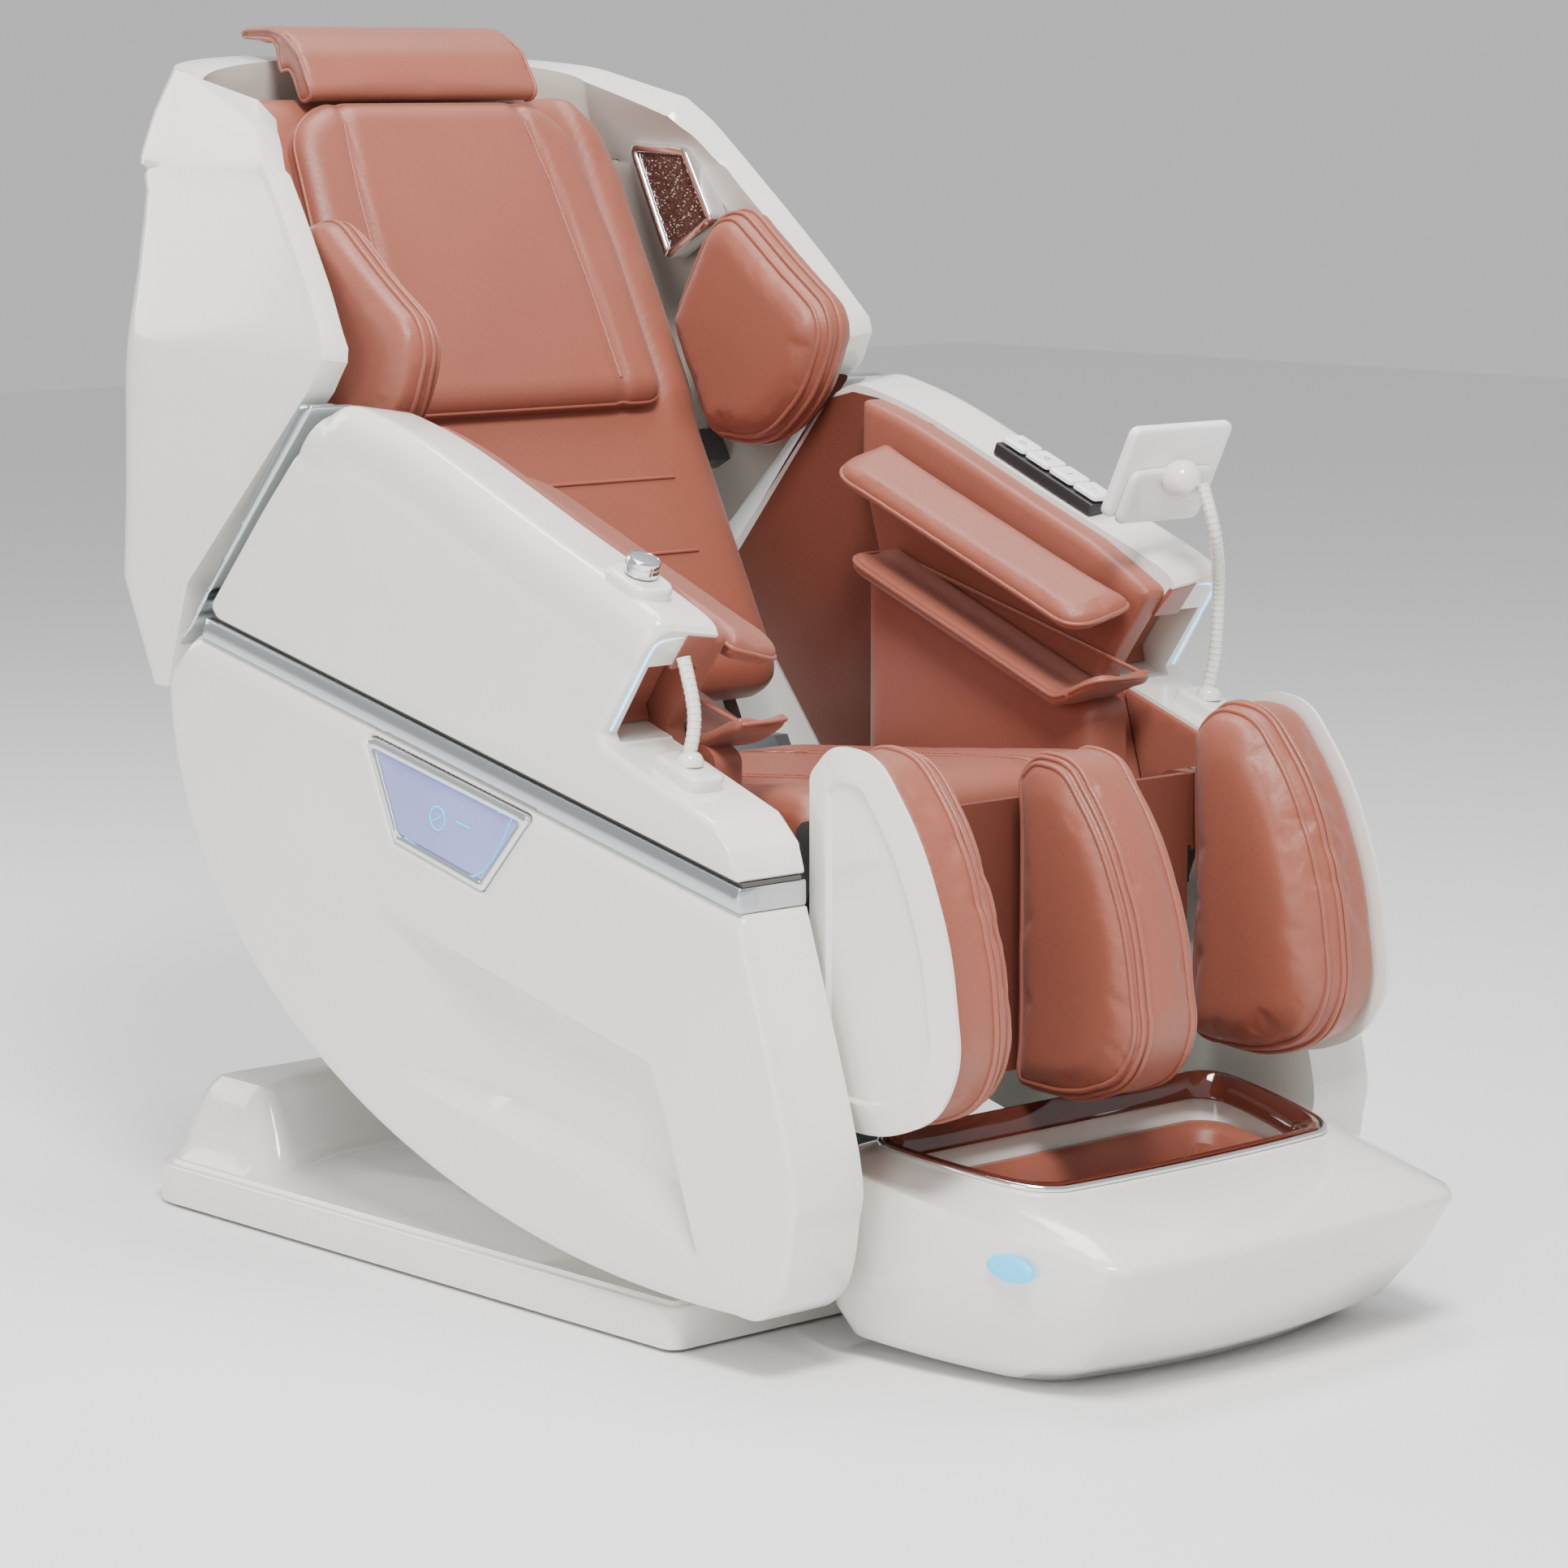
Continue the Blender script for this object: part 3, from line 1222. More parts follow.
@dataclass
class Hood:
    """The backrest's wrapped shell: wings, cap, rolled rim and lining."""

    wall: float = 0.034
    front_marks: Sequence[float] = (0.0, 0.014, 0.032)

    def row(self, z: float) -> Array:
        """The plan sizes at a height, on a soft line through the rows."""
        table = np.array(HOOD_ROWS)
        return np.array([np.interp(z, table[:, 0], table[:, k]) for k in range(6)])

    def ring(self, row: Array, shrink: float = 0.0, lift: float = 0.0, front_pull: float = 0.0) -> list[tuple]:
        """One level of the shell.

        Args:
            row: Height, half width, front, corner, rear and rise.
            shrink: How far the level stands in.
            lift: How far it is raised.
            front_pull: How far its front edge stands back.

        Returns:
            The level's points from the left wing's front round to the right's.
        """
        z, half, front, corner, rear, rise = row
        across = half - shrink
        front_y, rear_y = front + front_pull, rear - shrink
        corner_y = corner - shrink * 0.6
        plan = []
        for mark in list(self.front_marks) + list(np.linspace(0.07, 1, 12)):
            y = front_y + mark if mark < 0.05 else front_y + mark * (corner_y - front_y)
            plan.append((across, min(y, corner_y - 0.001) if mark < 0.05 else y))
        plan.sort(key=lambda p: p[1])
        for degrees in np.linspace(7, 84, 12):
            a = radians(degrees)
            plan.append((across * cos(a) ** 0.92, corner_y + (rear_y - corner_y) * sin(a)))
        plan = plan + [(0, rear_y)] + [(-x, y) for x, y in plan[::-1]]
        made = []
        for x, y in plan:
            share = (y - front_y) / (rear_y - front_y)
            made.append((x, y + DATUM_SHIFT, z + lift + rise * share))
        return made

    def make(self) -> None:
        """The shell, its lining, and the strip at its rear corners."""
        levels = list(np.linspace(0.575, 1.122, 34))
        rings = [self.ring(self.row(z)) for z in levels]
        for z, shrink in ((1.126, 0.006), (1.13, 0.006), (1.133, 0.0)):
            plain, sunk = self.ring(self.row(z)), self.ring(self.row(z), shrink)
            share = [float(blend_in(np.array(p[1] - DATUM_SHIFT), 0.64, 0.735)) for p in plain]
            rings.append([tuple(Vector(a).lerp(Vector(b), w)) for a, b, w in zip(plain, sunk, share)])
        rings += [self.ring(self.row(z)) for z in np.linspace(1.14, 1.202, 6)]
        mesh = loft("hood", rings, closed=False)
        bm = bmesh.new()
        bm.from_mesh(mesh)
        bmesh.ops.recalc_face_normals(bm, faces=bm.faces)
        rear = max(bm.faces, key=lambda f: f.calc_center_median().y)
        if rear.normal.y < 0:
            bmesh.ops.reverse_faces(bm, faces=bm.faces)
        bm.to_mesh(mesh)
        bm.free()
        obj = piece("hood_skin", mesh, PEARL, 34)
        obj.data.materials.append(LINING.material())
        wall = obj.modifiers.new("wall", "SOLIDIFY")
        wall.thickness = self.wall
        wall.offset = -1
        wall.material_offset = 1
        wall.material_offset_rim = 0
        edge = obj.modifiers.new("edge", "BEVEL")
        edge.width = 0.0085
        edge.segments = 4
        edge.limit_method = "ANGLE"
        edge.angle_limit = radians(60)
        mesh = baked(obj)
        lining = mesh.materials[1] if len(mesh.materials) > 1 else None
        marks = np.empty(len(mesh.polygons), np.int32)
        mesh.polygons.foreach_get("material_index", marks)
        obj = piece("hood_skin", mesh, PEARL, 34)
        if lining:
            obj.data.materials.append(lining)
            obj.data.polygons.foreach_set("material_index", marks)
        settle(obj, "backrest", "white_shell", "back_shell")
        for name, sign in SIDES:
            self.make_inlay(name, sign)

    def make_inlay(self, name: str, sign: int) -> None:
        """The grey strip let into the rear corner."""
        verts = []
        for z in np.linspace(0.8, 1.098, 26):
            ring = self.ring(self.row(z), -0.0008)
            line = ring[20:24] if sign > 0 else ring[::-1][20:24]
            verts.append([Vector(p) for p in line])
        strip = loft("inlay", verts, closed=False)
        bm = bmesh.new()
        bm.from_mesh(strip)
        bmesh.ops.recalc_face_normals(bm, faces=bm.faces)
        face = bm.faces[:][0]
        if face.normal.x * sign < 0:
            bmesh.ops.reverse_faces(bm, faces=bm.faces)
        bm.to_mesh(strip)
        bm.free()
        obj = piece("hood_inlay_" + name, strip, CHROME, 50)
        wall = obj.modifiers.new("wall", "SOLIDIFY")
        wall.thickness = 0.003
        wall.offset = -1
        mesh = baked(obj)
        settle(piece("hood_inlay_" + name, mesh, CHROME, 50), "backrest", "satin_trim")


@dataclass
class BackSoft:
    """The backrest's cushion, centre pad, shoulder pads, speakers and pillow."""

    cushion_face: float = 0.028
    pad_face: float = 0.062

    def make_cushion(self) -> None:
        """The broad cushion with sewn channels."""
        outline = [
            (-0.283, 0.125), (0.283, 0.125), (0.283, 0.6), (0.282, 0.76), (0.27, 0.83), (0.232, 0.877), (-0.232, 0.877),
            (-0.27, 0.83), (-0.282, 0.76), (-0.283, 0.6)
        ]

        def face(points: Array, gap: Array) -> Array:
            """A crowned face with a raised bolster up each side."""
            bolster = 0.009 * blend_in(np.abs(points[:, 0]), 0.214, 0.232) * blend_in(points[:, 1], 0.44, 0.5)
            return self.cushion_face + bolster - round_edge(gap, 0.03, 0.026)

        mesh = body_mesh(
            "back", rounded(outline, 0.045), face, dished(-0.026, 0.016, 0.012), back_plane(), 0.011, SOFT_ROWS
        )
        mesh = plump(mesh, 0.004, 0.008)
        settle(piece("back_cushion_cover", mesh, HIDE, 60), "backrest", "leather", "back_cushion", padded=0.6)
        place = back_plane()
        seams = []
        for up in (0.205, 0.295, 0.385):
            line = [place @ Vector((x, up, 0.03)) for x in np.linspace(-0.2, 0.2, 60)]
            seams.append((snap(line, mesh, 0.0002), False))
        settle(path_work("back_channels", Path.PIPING, seams, ROLL, 0.0022, 0.006), "backrest", "leather")

    def make_centre(self) -> None:
        """The centre pad with its piped side bolsters."""
        outline = rounded(
            [
                (-0.21, 0.472), (0.21, 0.472), (0.21, 0.66), (0.196, 0.812), (0.15, 0.847), (-0.15, 0.847), (-0.196, 0.812),
                (-0.21, 0.66)
            ],
            0.2, 9, {0: 0.03, 1: 0.03}
        )
        seam_x = ((0.47, 0.148), (0.6, 0.146), (0.74, 0.138), (0.848, 0.124))

        def face(points: Array, gap: Array) -> Array:
            """A crowned face, nipped along the two seams."""
            line = np.interp(points[:, 1], [u for u, _ in seam_x], [x for _, x in seam_x])
            off = np.abs(np.abs(points[:, 0]) - line)
            nip = 0.006 * np.exp(-((off / 0.007) ** 2))
            return self.pad_face - round_edge(gap, 0.026, 0.022) - nip

        mesh = body_mesh("centre", outline, face, level(0.0315), back_plane(), 0.007, SOFT_ROWS)
        settle(piece("centre_pad_cover", mesh, HIDE, 60), "backrest", "leather", "centre_pad", padded=0.7)
        place = back_plane()
        seams = []
        for sign in (1, -1):
            across = [(u, np.interp(u, [a for a, _ in seam_x], [x for _, x in seam_x])) for u in np.linspace(0.5, 0.82, 40)]
            seams.append(([place @ Vector((sign * x, u, self.pad_face - 0.0056)) for u, x in across], False))
        rim = turned(resample(outline, 0.007), True)
        seams.append((snap([place @ Vector((x, u, 0.045)) for x, u in inset(rim, 0.002)], mesh, 0.0006), True))
        settle(path_work("centre_pad_piping", Path.PIPING, seams, ROLL, 0.002, 0.005), "backrest", "leather")

    def make_shoulders(self) -> None:
        """The two shoulder pads, layered towards the sitter."""
        corners = [
            (0.655, -0.15), (0.577, -0.0325), (0.425, -0.0325), (0.375, -0.12), (0.4, -0.215), (0.45, -0.27),
            (0.485, -0.275), (0.645, -0.195)
        ]
        outline = rounded([on_back(u, n) for u, n in corners], 0.3, 9, {1: 0.02, 2: 0.03})
        slim = [tuple(p) for p in inset(turned(resample(outline, 0.006), True), 0.002)]

        def outer(points: Array, gap: Array) -> Array:
            """The face against the arm."""
            return 0.317 - round_edge(gap, 0.014, 0.012)

        def inner(points: Array, gap: Array) -> Array:
            """The face towards the sitter, in two steps and a crown."""
            first = 0.012 * np.clip(1 - gap / 0.003, 0, 1)
            second = 0.013 * np.clip(1 - np.abs(gap - 0.003) / 0.01, 0, 1) * (gap > 0.003) + 0.013 * (gap <= 0.003)
            return 0.2515 + round_edge(gap - 0.009, 0.03, 0.02) + 0.6 * first + 0.5 * second

        mesh = body_mesh(
            "shoulder", slim, outer, inner, SIDE_PLANE, 0.008, (0.0012, 0.003, 0.006, 0.01, 0.014, 0.02, 0.028)
        )
        mesh = plump(mesh, 0.003, 0.0055)
        seams = []
        for offset, x in ((0.0, 0.293), (0.005, 0.28), (0.011, 0.268)):
            seams.append((snap(edge_line(slim, offset, x), mesh, 0.0008), True))
        left = path_work("shoulder_piping_left", Path.PIPING, seams, ROLL, 0.0028, 0.005)
        right = piece("shoulder_piping_right", mirrored(left.data), ROLL, 60)
        for name, sign in SIDES:
            cover = piece("shoulder_cover_" + name, mesh if sign > 0 else mirrored(mesh), HIDE, 60)
            settle(cover, "backrest", "leather", "shoulder_pad_" + name, padded=0.7)
        settle(left, "backrest", "leather")
        settle(right, "backrest", "leather")

    def make_speakers(self) -> None:
        """The crackled speaker plates in their pale frames."""
        outline = rounded(
            [on_back(u, n) for u, n in ((0.65, -0.033), (0.655, -0.128), (0.752, -0.122), (0.803, -0.033))], 0.012
        )
        ring = turned(resample(outline, 0.004), True)
        core = [tuple(p) for p in inset(ring, 0.01)]
        for name, sign in SIDES:
            place = side_place(sign)
            plate = body_mesh("plate", core, level(0.316), dished(0.2945, 0.003, 0.001), place, 0.006, (0.001, 0.0025))
            settle(piece("speaker_plate_" + name, plate, GRILLE, 50), "backrest", "speaker", "speaker_" + name)
            rim = body_mesh(
                "rim", outline, level(0.317), dished(0.2905, 0.004, 0.003), place, 0.005, (0.0006, 0.0016), holes=[core]
            )
            settle(piece("speaker_frame_" + name, rim, BRIGHT, 50), "backrest", "satin_trim")
            field_mesh = bpy.data.meshes.new("field")
            area = [tuple(p) for p in inset(ring, 0.013)]
            points = [(sign * 0.2942, y, z) for y, z in area]
            field_mesh.from_pydata(points, [], [tuple(range(len(points)))[:: -sign]])
            flecks = fleck_work("speaker_flecks_" + name, field_mesh, FLECK, 30000, 0.0016, 5)
            settle(flecks, "backrest", "speaker")

    def make_pillow(self) -> None:
        """The soft flap that rolls over the rim."""
        front = [on_back(0.85, -0.057), on_back(0.905, -0.055), on_back(0.935, -0.04)]
        over = sides([(0.7, 1.2785), (0.744, 1.2775), (0.754, 1.2715), (0.75, 1.266), (0.69, 1.266)])
        behind = [on_back(0.9, -0.0125), on_back(0.898, -0.0315), on_back(0.852, -0.0315)]
        outline = rounded(front + over + behind, 0.012, 6, {1: 0.05, 2: 0.05, 3: 0.04, 4: 0.01, 5: 0.004})
        place = SIDE_PLANE
        mesh = body_mesh(
            "pillow", outline, domed(0.163, 0.007, 0.007), dished(-0.163, 0.007, 0.007), place, 0.006, (
                0.0012, 0.0032, 0.006
            )
        )
        mesh = self.sliced(mesh, 0.012)
        mesh = plump(mesh, 0.0035, 0.004, 5.0)
        settle(piece("pillow_cover", mesh, HIDE, 60), "pillow", "leather", "head_pillow", padded=0.7)
        seams = [(snap(edge_line(outline, 0.0, sign * 0.159, 0.005), mesh, 0.0008), True) for sign in (1, -1)]
        settle(path_work("pillow_piping", Path.PIPING, seams, ROLL, 0.0026, 0.005), "pillow", "leather")

    def sliced(self, mesh: bpy.types.Mesh, step: float) -> bpy.types.Mesh:
        """The mesh cut across into bands, so that its long walls can swell.

        Args:
            mesh: The mesh.
            step: Distance between two cuts.

        Returns:
            The cut mesh.
        """
        bm = bmesh.new()
        bm.from_mesh(mesh)
        for x in np.arange(-0.15, 0.151, step):
            bmesh.ops.bisect_plane(bm, geom=bm.verts[:] + bm.edges[:] + bm.faces[:], plane_co=(x, 0, 0), plane_no=(1, 0, 0))
        bm.to_mesh(mesh)
        bm.free()
        return mesh

    def make(self) -> None:
        """Every soft piece of the backrest."""
        self.make_cushion()
        self.make_centre()
        self.make_shoulders()
        self.make_speakers()
        self.make_pillow()


@dataclass
class SeatSoft:
    """The seat cushion, the arms' leather linings and the forearm flaps."""

    def make_seat(self) -> None:
        """The seat cushion, with two long seams."""
        outline = rounded([(-0.2355, -0.295), (0.2355, -0.295), (0.2355, 0.24), (-0.2355, 0.24)], 0.03)

        def face(points: Array, gap: Array) -> Array:
            """A crowned face that falls to the rear."""
            base = np.interp(points[:, 1], [-0.295, -0.24, 0.24], [0.528, 0.531, 0.487])
            nip = 0.005 * np.exp(-(((np.abs(points[:, 0]) - 0.115) / 0.007) ** 2))
            return base - round_edge(gap, 0.034, 0.028) - nip

        mesh = body_mesh("seat", outline, face, dished(0.4412, 0.014, 0.01), PLAN, 0.011, SOFT_ROWS)
        mesh = plump(mesh, 0.004, 0.008)
        settle(piece("seat_cover", mesh, HIDE, 60), "cabin", "leather", "seat_cushion", padded=0.6)
        seams = []
        for x in (-0.115, 0.115):
            seams.append((snap([Vector((x, y, 0.55)) for y in np.linspace(-0.285, 0.23, 70)], mesh, 0.0002), False))
        settle(path_work("seat_seams", Path.PIPING, seams, ROLL, 0.0022, 0.006), "cabin", "leather")
        stitch = []
        for x in (-0.123, -0.107, 0.107, 0.123):
            stitch.append((snap([Vector((x, y, 0.55)) for y in np.linspace(-0.28, 0.225, 70)], mesh, 0.0003), False))
        settle(path_work("seat_stitches", Path.STITCH, stitch, THREAD, 0.0006, 0.0055, 0.0035), "cabin", "leather")

    def make_liners(self) -> None:
        """The padded walls, trays and bolsters inside the arms."""
        for name, sign in SIDES:
            place = side_place(sign)
            crown = [(y, z - 0.0165) for y, z in flow(list(ARM_CROWN[1:5]), 4) if y > -0.17]
            wall = [(-0.197, 0.453), (0.137, 0.453), (0.149, 0.56), (0.221, 0.79)] + crown[::-1]
            wall += [(-0.222, 0.692), (-0.183, 0.64), (-0.153, 0.598), (-0.162, 0.578)]
            mesh = body_mesh(
                "wall", rounded(sides(wall), 0.01, 4), level(0.319), dished(0.2905, 0.012, 0.01), place, 0.011,
                (0.001, 0.003, 0.007, 0.012)
            )
            settle(piece("arm_lining_" + name, mesh, HIDE, 50), "cabin", "leather", "arm_liner_" + name, padded=0.5)
            bolster = [
                (-0.193, 0.455), (0.164, 0.455), (0.164, flap_line(0.164, 0.073)), (-0.193, flap_line(-0.193, 0.073))
            ]
            mesh = body_mesh(
                "bolster", rounded(sides(bolster), 0.022, 5), level(0.2895), dished(0.2412, 0.026, 0.022), place, 0.011,
                SOFT_ROWS
            )
            settle(piece("side_bolster_" + name, mesh, HIDE, 50), "cabin", "leather", padded=0.6)
            front = [(-0.345, 0.487), (-0.19, 0.487), (-0.162, 0.585), (-0.3, 0.536), (-0.32, 0.531), (-0.345, 0.506)]
            mesh = body_mesh(
                "facing", rounded(sides(front), 0.004, 3), level(0.3198), dished(0.3155, 0.003), place, 0.01, (0.001, 0.003)
            )
            settle(piece("arm_facing_" + name, mesh, HIDE, 50), "cabin", "leather")
            rear = [(0.12, 0.455), (0.3, 0.455), (0.47, 0.665), (0.3, 0.868), (0.262, 0.877), (0.22, 0.872), (0.13, 0.846)]
            mesh = body_mesh("screen", rounded(sides(rear), 0.006, 3), level(0.3199), level(0.3178), place, 0.014, (0.001,))
            settle(piece("arm_screen_" + name, mesh, DEEP_HIDE, 50), "cabin", "leather")
            self.make_tray(name, sign)

    def make_tray(self, name: str, sign: int) -> None:
        """The channel's floor with its rounded, piped ends."""
        slope = Vector((0, 1, 0.386)).normalized()
        out = Vector((0, -slope.z, slope.y))
        y, z = side(-0.025, flap_line(-0.025, 0.077))
        place = Matrix(((sign, 0, 0, 0), (0, slope.y, out.y, y), (0, slope.z, out.z, z), (0, 0, 0, 1)))
        half = 0.2
        outline = rounded([(0.211, -half), (0.29, -half), (0.29, half), (0.211, half)], 0.006, 5, {0: 0.034, 3: 0.034})

        def face(points: Array, gap: Array) -> Array:
            """A dished floor that curls up at its inner rim."""
            dish = 0.006 * np.exp(-(((points[:, 0] - 0.252) / 0.02) ** 2))
            return 0.009 - round_edge(gap, 0.008, 0.008) - dish + curl(points[:, 1])

        def curl(along: Array) -> Array:
            """Rise of the channel's front end."""
            return 0.046 * blend_in(-along, 0.14, 0.205)

        mesh = body_mesh(
            "tray", outline, face, lambda p, d: -0.0105 + round_edge(d, 0.008, 0.008) + curl(p[:, 1]), place, 0.008,
            (0.001, 0.003, 0.006)
        )
        settle(piece("channel_floor_" + name, mesh, HIDE, 50), "cabin", "leather", padded=0.5)
        ring = turned(resample(outline, 0.005), True)
        line = [place @ Vector((x, v, 0.001 + float(curl(np.array(v))))) for x, v in ring if x < 0.286]
        seam = path_work("channel_piping_" + name, Path.PIPING, [(line, False)], ROLL, 0.0024, 0.005)
        settle(seam, "cabin", "leather")

    def make_flaps(self) -> None:
        """The hinged forearm pads."""
        slope = Vector((0, 1, 0.386)).normalized()
        y, z = side(-0.02, flap_line(-0.02) + 0.034)
        along = Matrix.Rotation(Vector((0, 1, 0)).angle(slope), 4, "X")
        tip = Matrix.Rotation(-radians(16), 4, "Y")
        place = Matrix.Translation((0.2715, y, z)) @ along @ tip
        half = 0.202
        outline = rounded(
            [(-0.0745, -half), (0.0085, -half), (0.0085, half), (-0.0745, half)], 0.008, 6, {0: 0.04, 3: 0.045}
        )

        def face(points: Array, gap: Array) -> Array:
            """The pad's upper face."""
            return 0.0125 - round_edge(gap, 0.013, 0.0115)

        mesh = body_mesh("flap", outline, face, lambda p, d: -face(p, d), place, 0.007, (0.001, 0.003, 0.0065, 0.01))
        mesh = plump(mesh, 0.003, 0.0045)
        ring = turned(resample(outline, 0.005), True)
        line = snap([place @ Vector((x, v, 0.0)) for x, v in ring], mesh, 0.0006)
        left = path_work("flap_piping_left", Path.PIPING, [(line, True)], ROLL, 0.0024, 0.005)
        right = piece("flap_piping_right", mirrored(left.data), ROLL, 60)
        settle(left, "flap_left", "leather")
        settle(right, "flap_right", "leather")
        for name, sign in SIDES:
            cover = piece("flap_cover_" + name, mesh if sign > 0 else mirrored(mesh), HIDE, 60)
            settle(cover, "flap_" + name, "leather", "forearm_flap_" + name, padded=0.7)

    def make(self) -> None:
        """Every soft piece of the cabin."""
        self.make_seat()
        self.make_liners()
        self.make_flaps()


CALF = (
    (-0.377, 0.605), (-0.438, 0.6), (-0.499, 0.523), (-0.537, 0.429), (-0.553, 0.318), (-0.522, 0.261), (-0.45, 0.232),
    (-0.345, 0.236), (-0.345, 0.572)
)


@dataclass
class LegRest:
    """The calf cushions between their white outer shells."""

    shell_out: float = 0.3115
    shell_in: float = 0.3005

    def outline(self, shrink: float = 0.0, drop: float = 0.0) -> list[Pair]:
        """The legrest's outline, set in and lowered."""
        ring = turned(resample(rounded(sides(CALF), 0.3, 9, {0: 0.05, 7: 0.03, 8: 0.02}), 0.006), True)
        ring = inset(ring, shrink) if shrink else ring
        return [(y, z - drop) for y, z in ring]

    def make_shell(self, name: str, sign: int) -> None:
        """A white side with a bevelled frame round a flat panel."""
        place = side_place(sign)

        def face(points: Array, gap: Array) -> Array:
            """The frame falls to its rim and steps to the inner panel."""
            rim = 0.0065 * np.clip(1 - gap / 0.029, 0, 1)
            step = 0.0042 * blend_in(gap, 0.03, 0.0335)
            return self.shell_out - rim - step

        mesh = body_mesh(
            "leg", self.outline(0.0008), face, level(self.shell_in), place, 0.007,
            (0.0012, 0.008, 0.016, 0.0235, 0.0288, 0.0301, 0.0318, 0.0337)
        )
        settle(piece("leg_skin_" + name, mesh, PEARL, 24), "legrest", "white_shell", "leg_shell_" + name)

    def make_sides(self) -> None:
        """The two outer calf cushions."""
        outline = self.outline(0.006)

        def inner(points: Array, gap: Array) -> Array:
            """The face towards the leg: a broad front roll, two steps and a crown."""
            return 0.2035 + 0.011 * np.clip(1 - gap / 0.003, 0, 1) + 0.012 * blend_in(gap, 0.013, 0.004) + round_edge(
                gap - 0.008, 0.045, 0.018
            )

        mesh = body_mesh("calf", outline, domed(0.2985, 0.012, 0.009), inner, SIDE_PLANE, 0.009, CALF_ROWS)
        mesh = self.banded(mesh, 0.206, 0.297, 7)
        mesh = plump(mesh, 0.0035, 0.0055)
        seams = []
        for offset, x in ((0.0, 0.249), (0.0, 0.242), (0.006, 0.226)):
            seams.append((snap(edge_line(outline, offset, x), mesh, 0.0008), True))
        left = path_work("calf_piping_left", Path.PIPING, seams, ROLL, 0.003, 0.005)
        right = piece("calf_piping_right", mirrored(left.data), ROLL, 60)
        settle(left, "legrest", "leather")
        settle(right, "legrest", "leather")
        for name, sign in SIDES:
            cover = piece("calf_cover_" + name, mesh if sign > 0 else mirrored(mesh), HIDE, 60)
            settle(cover, "legrest", "leather", "calf_cushion_" + name, padded=0.7)

    def make_centre(self) -> None:
        """The cushion between the calves."""
        outline = self.outline(0.014, 0.018)

        def face(points: Array, gap: Array) -> Array:
            """One side of the middle cushion."""
            return 0.0495 - 0.007 * np.clip(1 - gap / 0.003, 0, 1) - 0.006 * blend_in(gap, 0.013, 0.004) - round_edge(
                gap - 0.008, 0.034, 0.007
            )

        mesh = body_mesh("middle", outline, face, lambda p, d: -face(p, d), SIDE_PLANE, 0.009, CALF_ROWS)
        mesh = self.banded(mesh, -0.04, 0.04, 7)
        mesh = plump(mesh, 0.003, 0.0055)
        seams = []
        for sign in (1, -1):
            for offset, x in ((0.0, 0.0295), (0.003, 0.037), (0.009, 0.044)):
                seams.append((snap(edge_line(outline, offset, sign * x), mesh, 0.0008), True))
        settle(piece("calf_cover_centre", mesh, HIDE, 60), "legrest", "leather", "calf_cushion_centre", padded=0.7)
        settle(path_work("calf_piping_centre", Path.PIPING, seams, ROLL, 0.0028, 0.005), "legrest", "leather")

    def banded(self, mesh: bpy.types.Mesh, low: float, high: float, count: int) -> bpy.types.Mesh:
        """The mesh cut across into bands, its rim crowned between the faces.

        Args:
            mesh: The mesh.
            low: The first cut.
            high: The last cut.
            count: How many cuts.

        Returns:
            The cut mesh.
        """
        bm = bmesh.new()
        bm.from_mesh(mesh)
        for x in np.linspace(low, high, count):
            bmesh.ops.bisect_plane(bm, geom=bm.verts[:] + bm.edges[:] + bm.faces[:], plane_co=(x, 0, 0), plane_no=(1, 0, 0))
        bm.to_mesh(mesh)
        bm.free()
        return mesh

    def make(self) -> None:
        """The whole legrest."""
        for name, sign in SIDES:
            self.make_shell(name, sign)
        self.make_sides()
        self.make_centre()


FOOT_LEVELS = (
    # half, front, rear, z front, z rear, corner, bow
    (0.26, -0.615, -0.335, 0.006, 0.02, 0.04, 0.04), (
        0.28, -0.655, -0.335, 0.03, 0.05, 0.036, 0.034
    ), (0.286, -0.69, -0.335, 0.08, 0.115, 0.03, 0.024),
    (0.29, -0.715, -0.335, 0.134, 0.186, 0.024, 0.018), (
        0.2893, -0.7143, -0.3355, 0.1385, 0.1915, 0.024, 0.018
    ), (0.287, -0.7115, -0.337, 0.1425, 0.1955, 0.024, 0.018),
    (
        0.262, -0.652, -0.348, 0.1645, 0.2025, 0.03, 0.014
    ), (0.249, -0.584, -0.358, 0.183, 0.2065, 0.034, 0.011), (0.243, -0.574, -0.361, 0.184, 0.208, 0.034, 0.01),
    (0.24, -0.57, -0.363, 0.178, 0.2, 0.034, 0.01), (
        0.234, -0.562, -0.368, 0.12, 0.12, 0.034, 0.01
    ), (0.222, -0.552, -0.374, 0.04, 0.04, 0.034, 0.01),
)


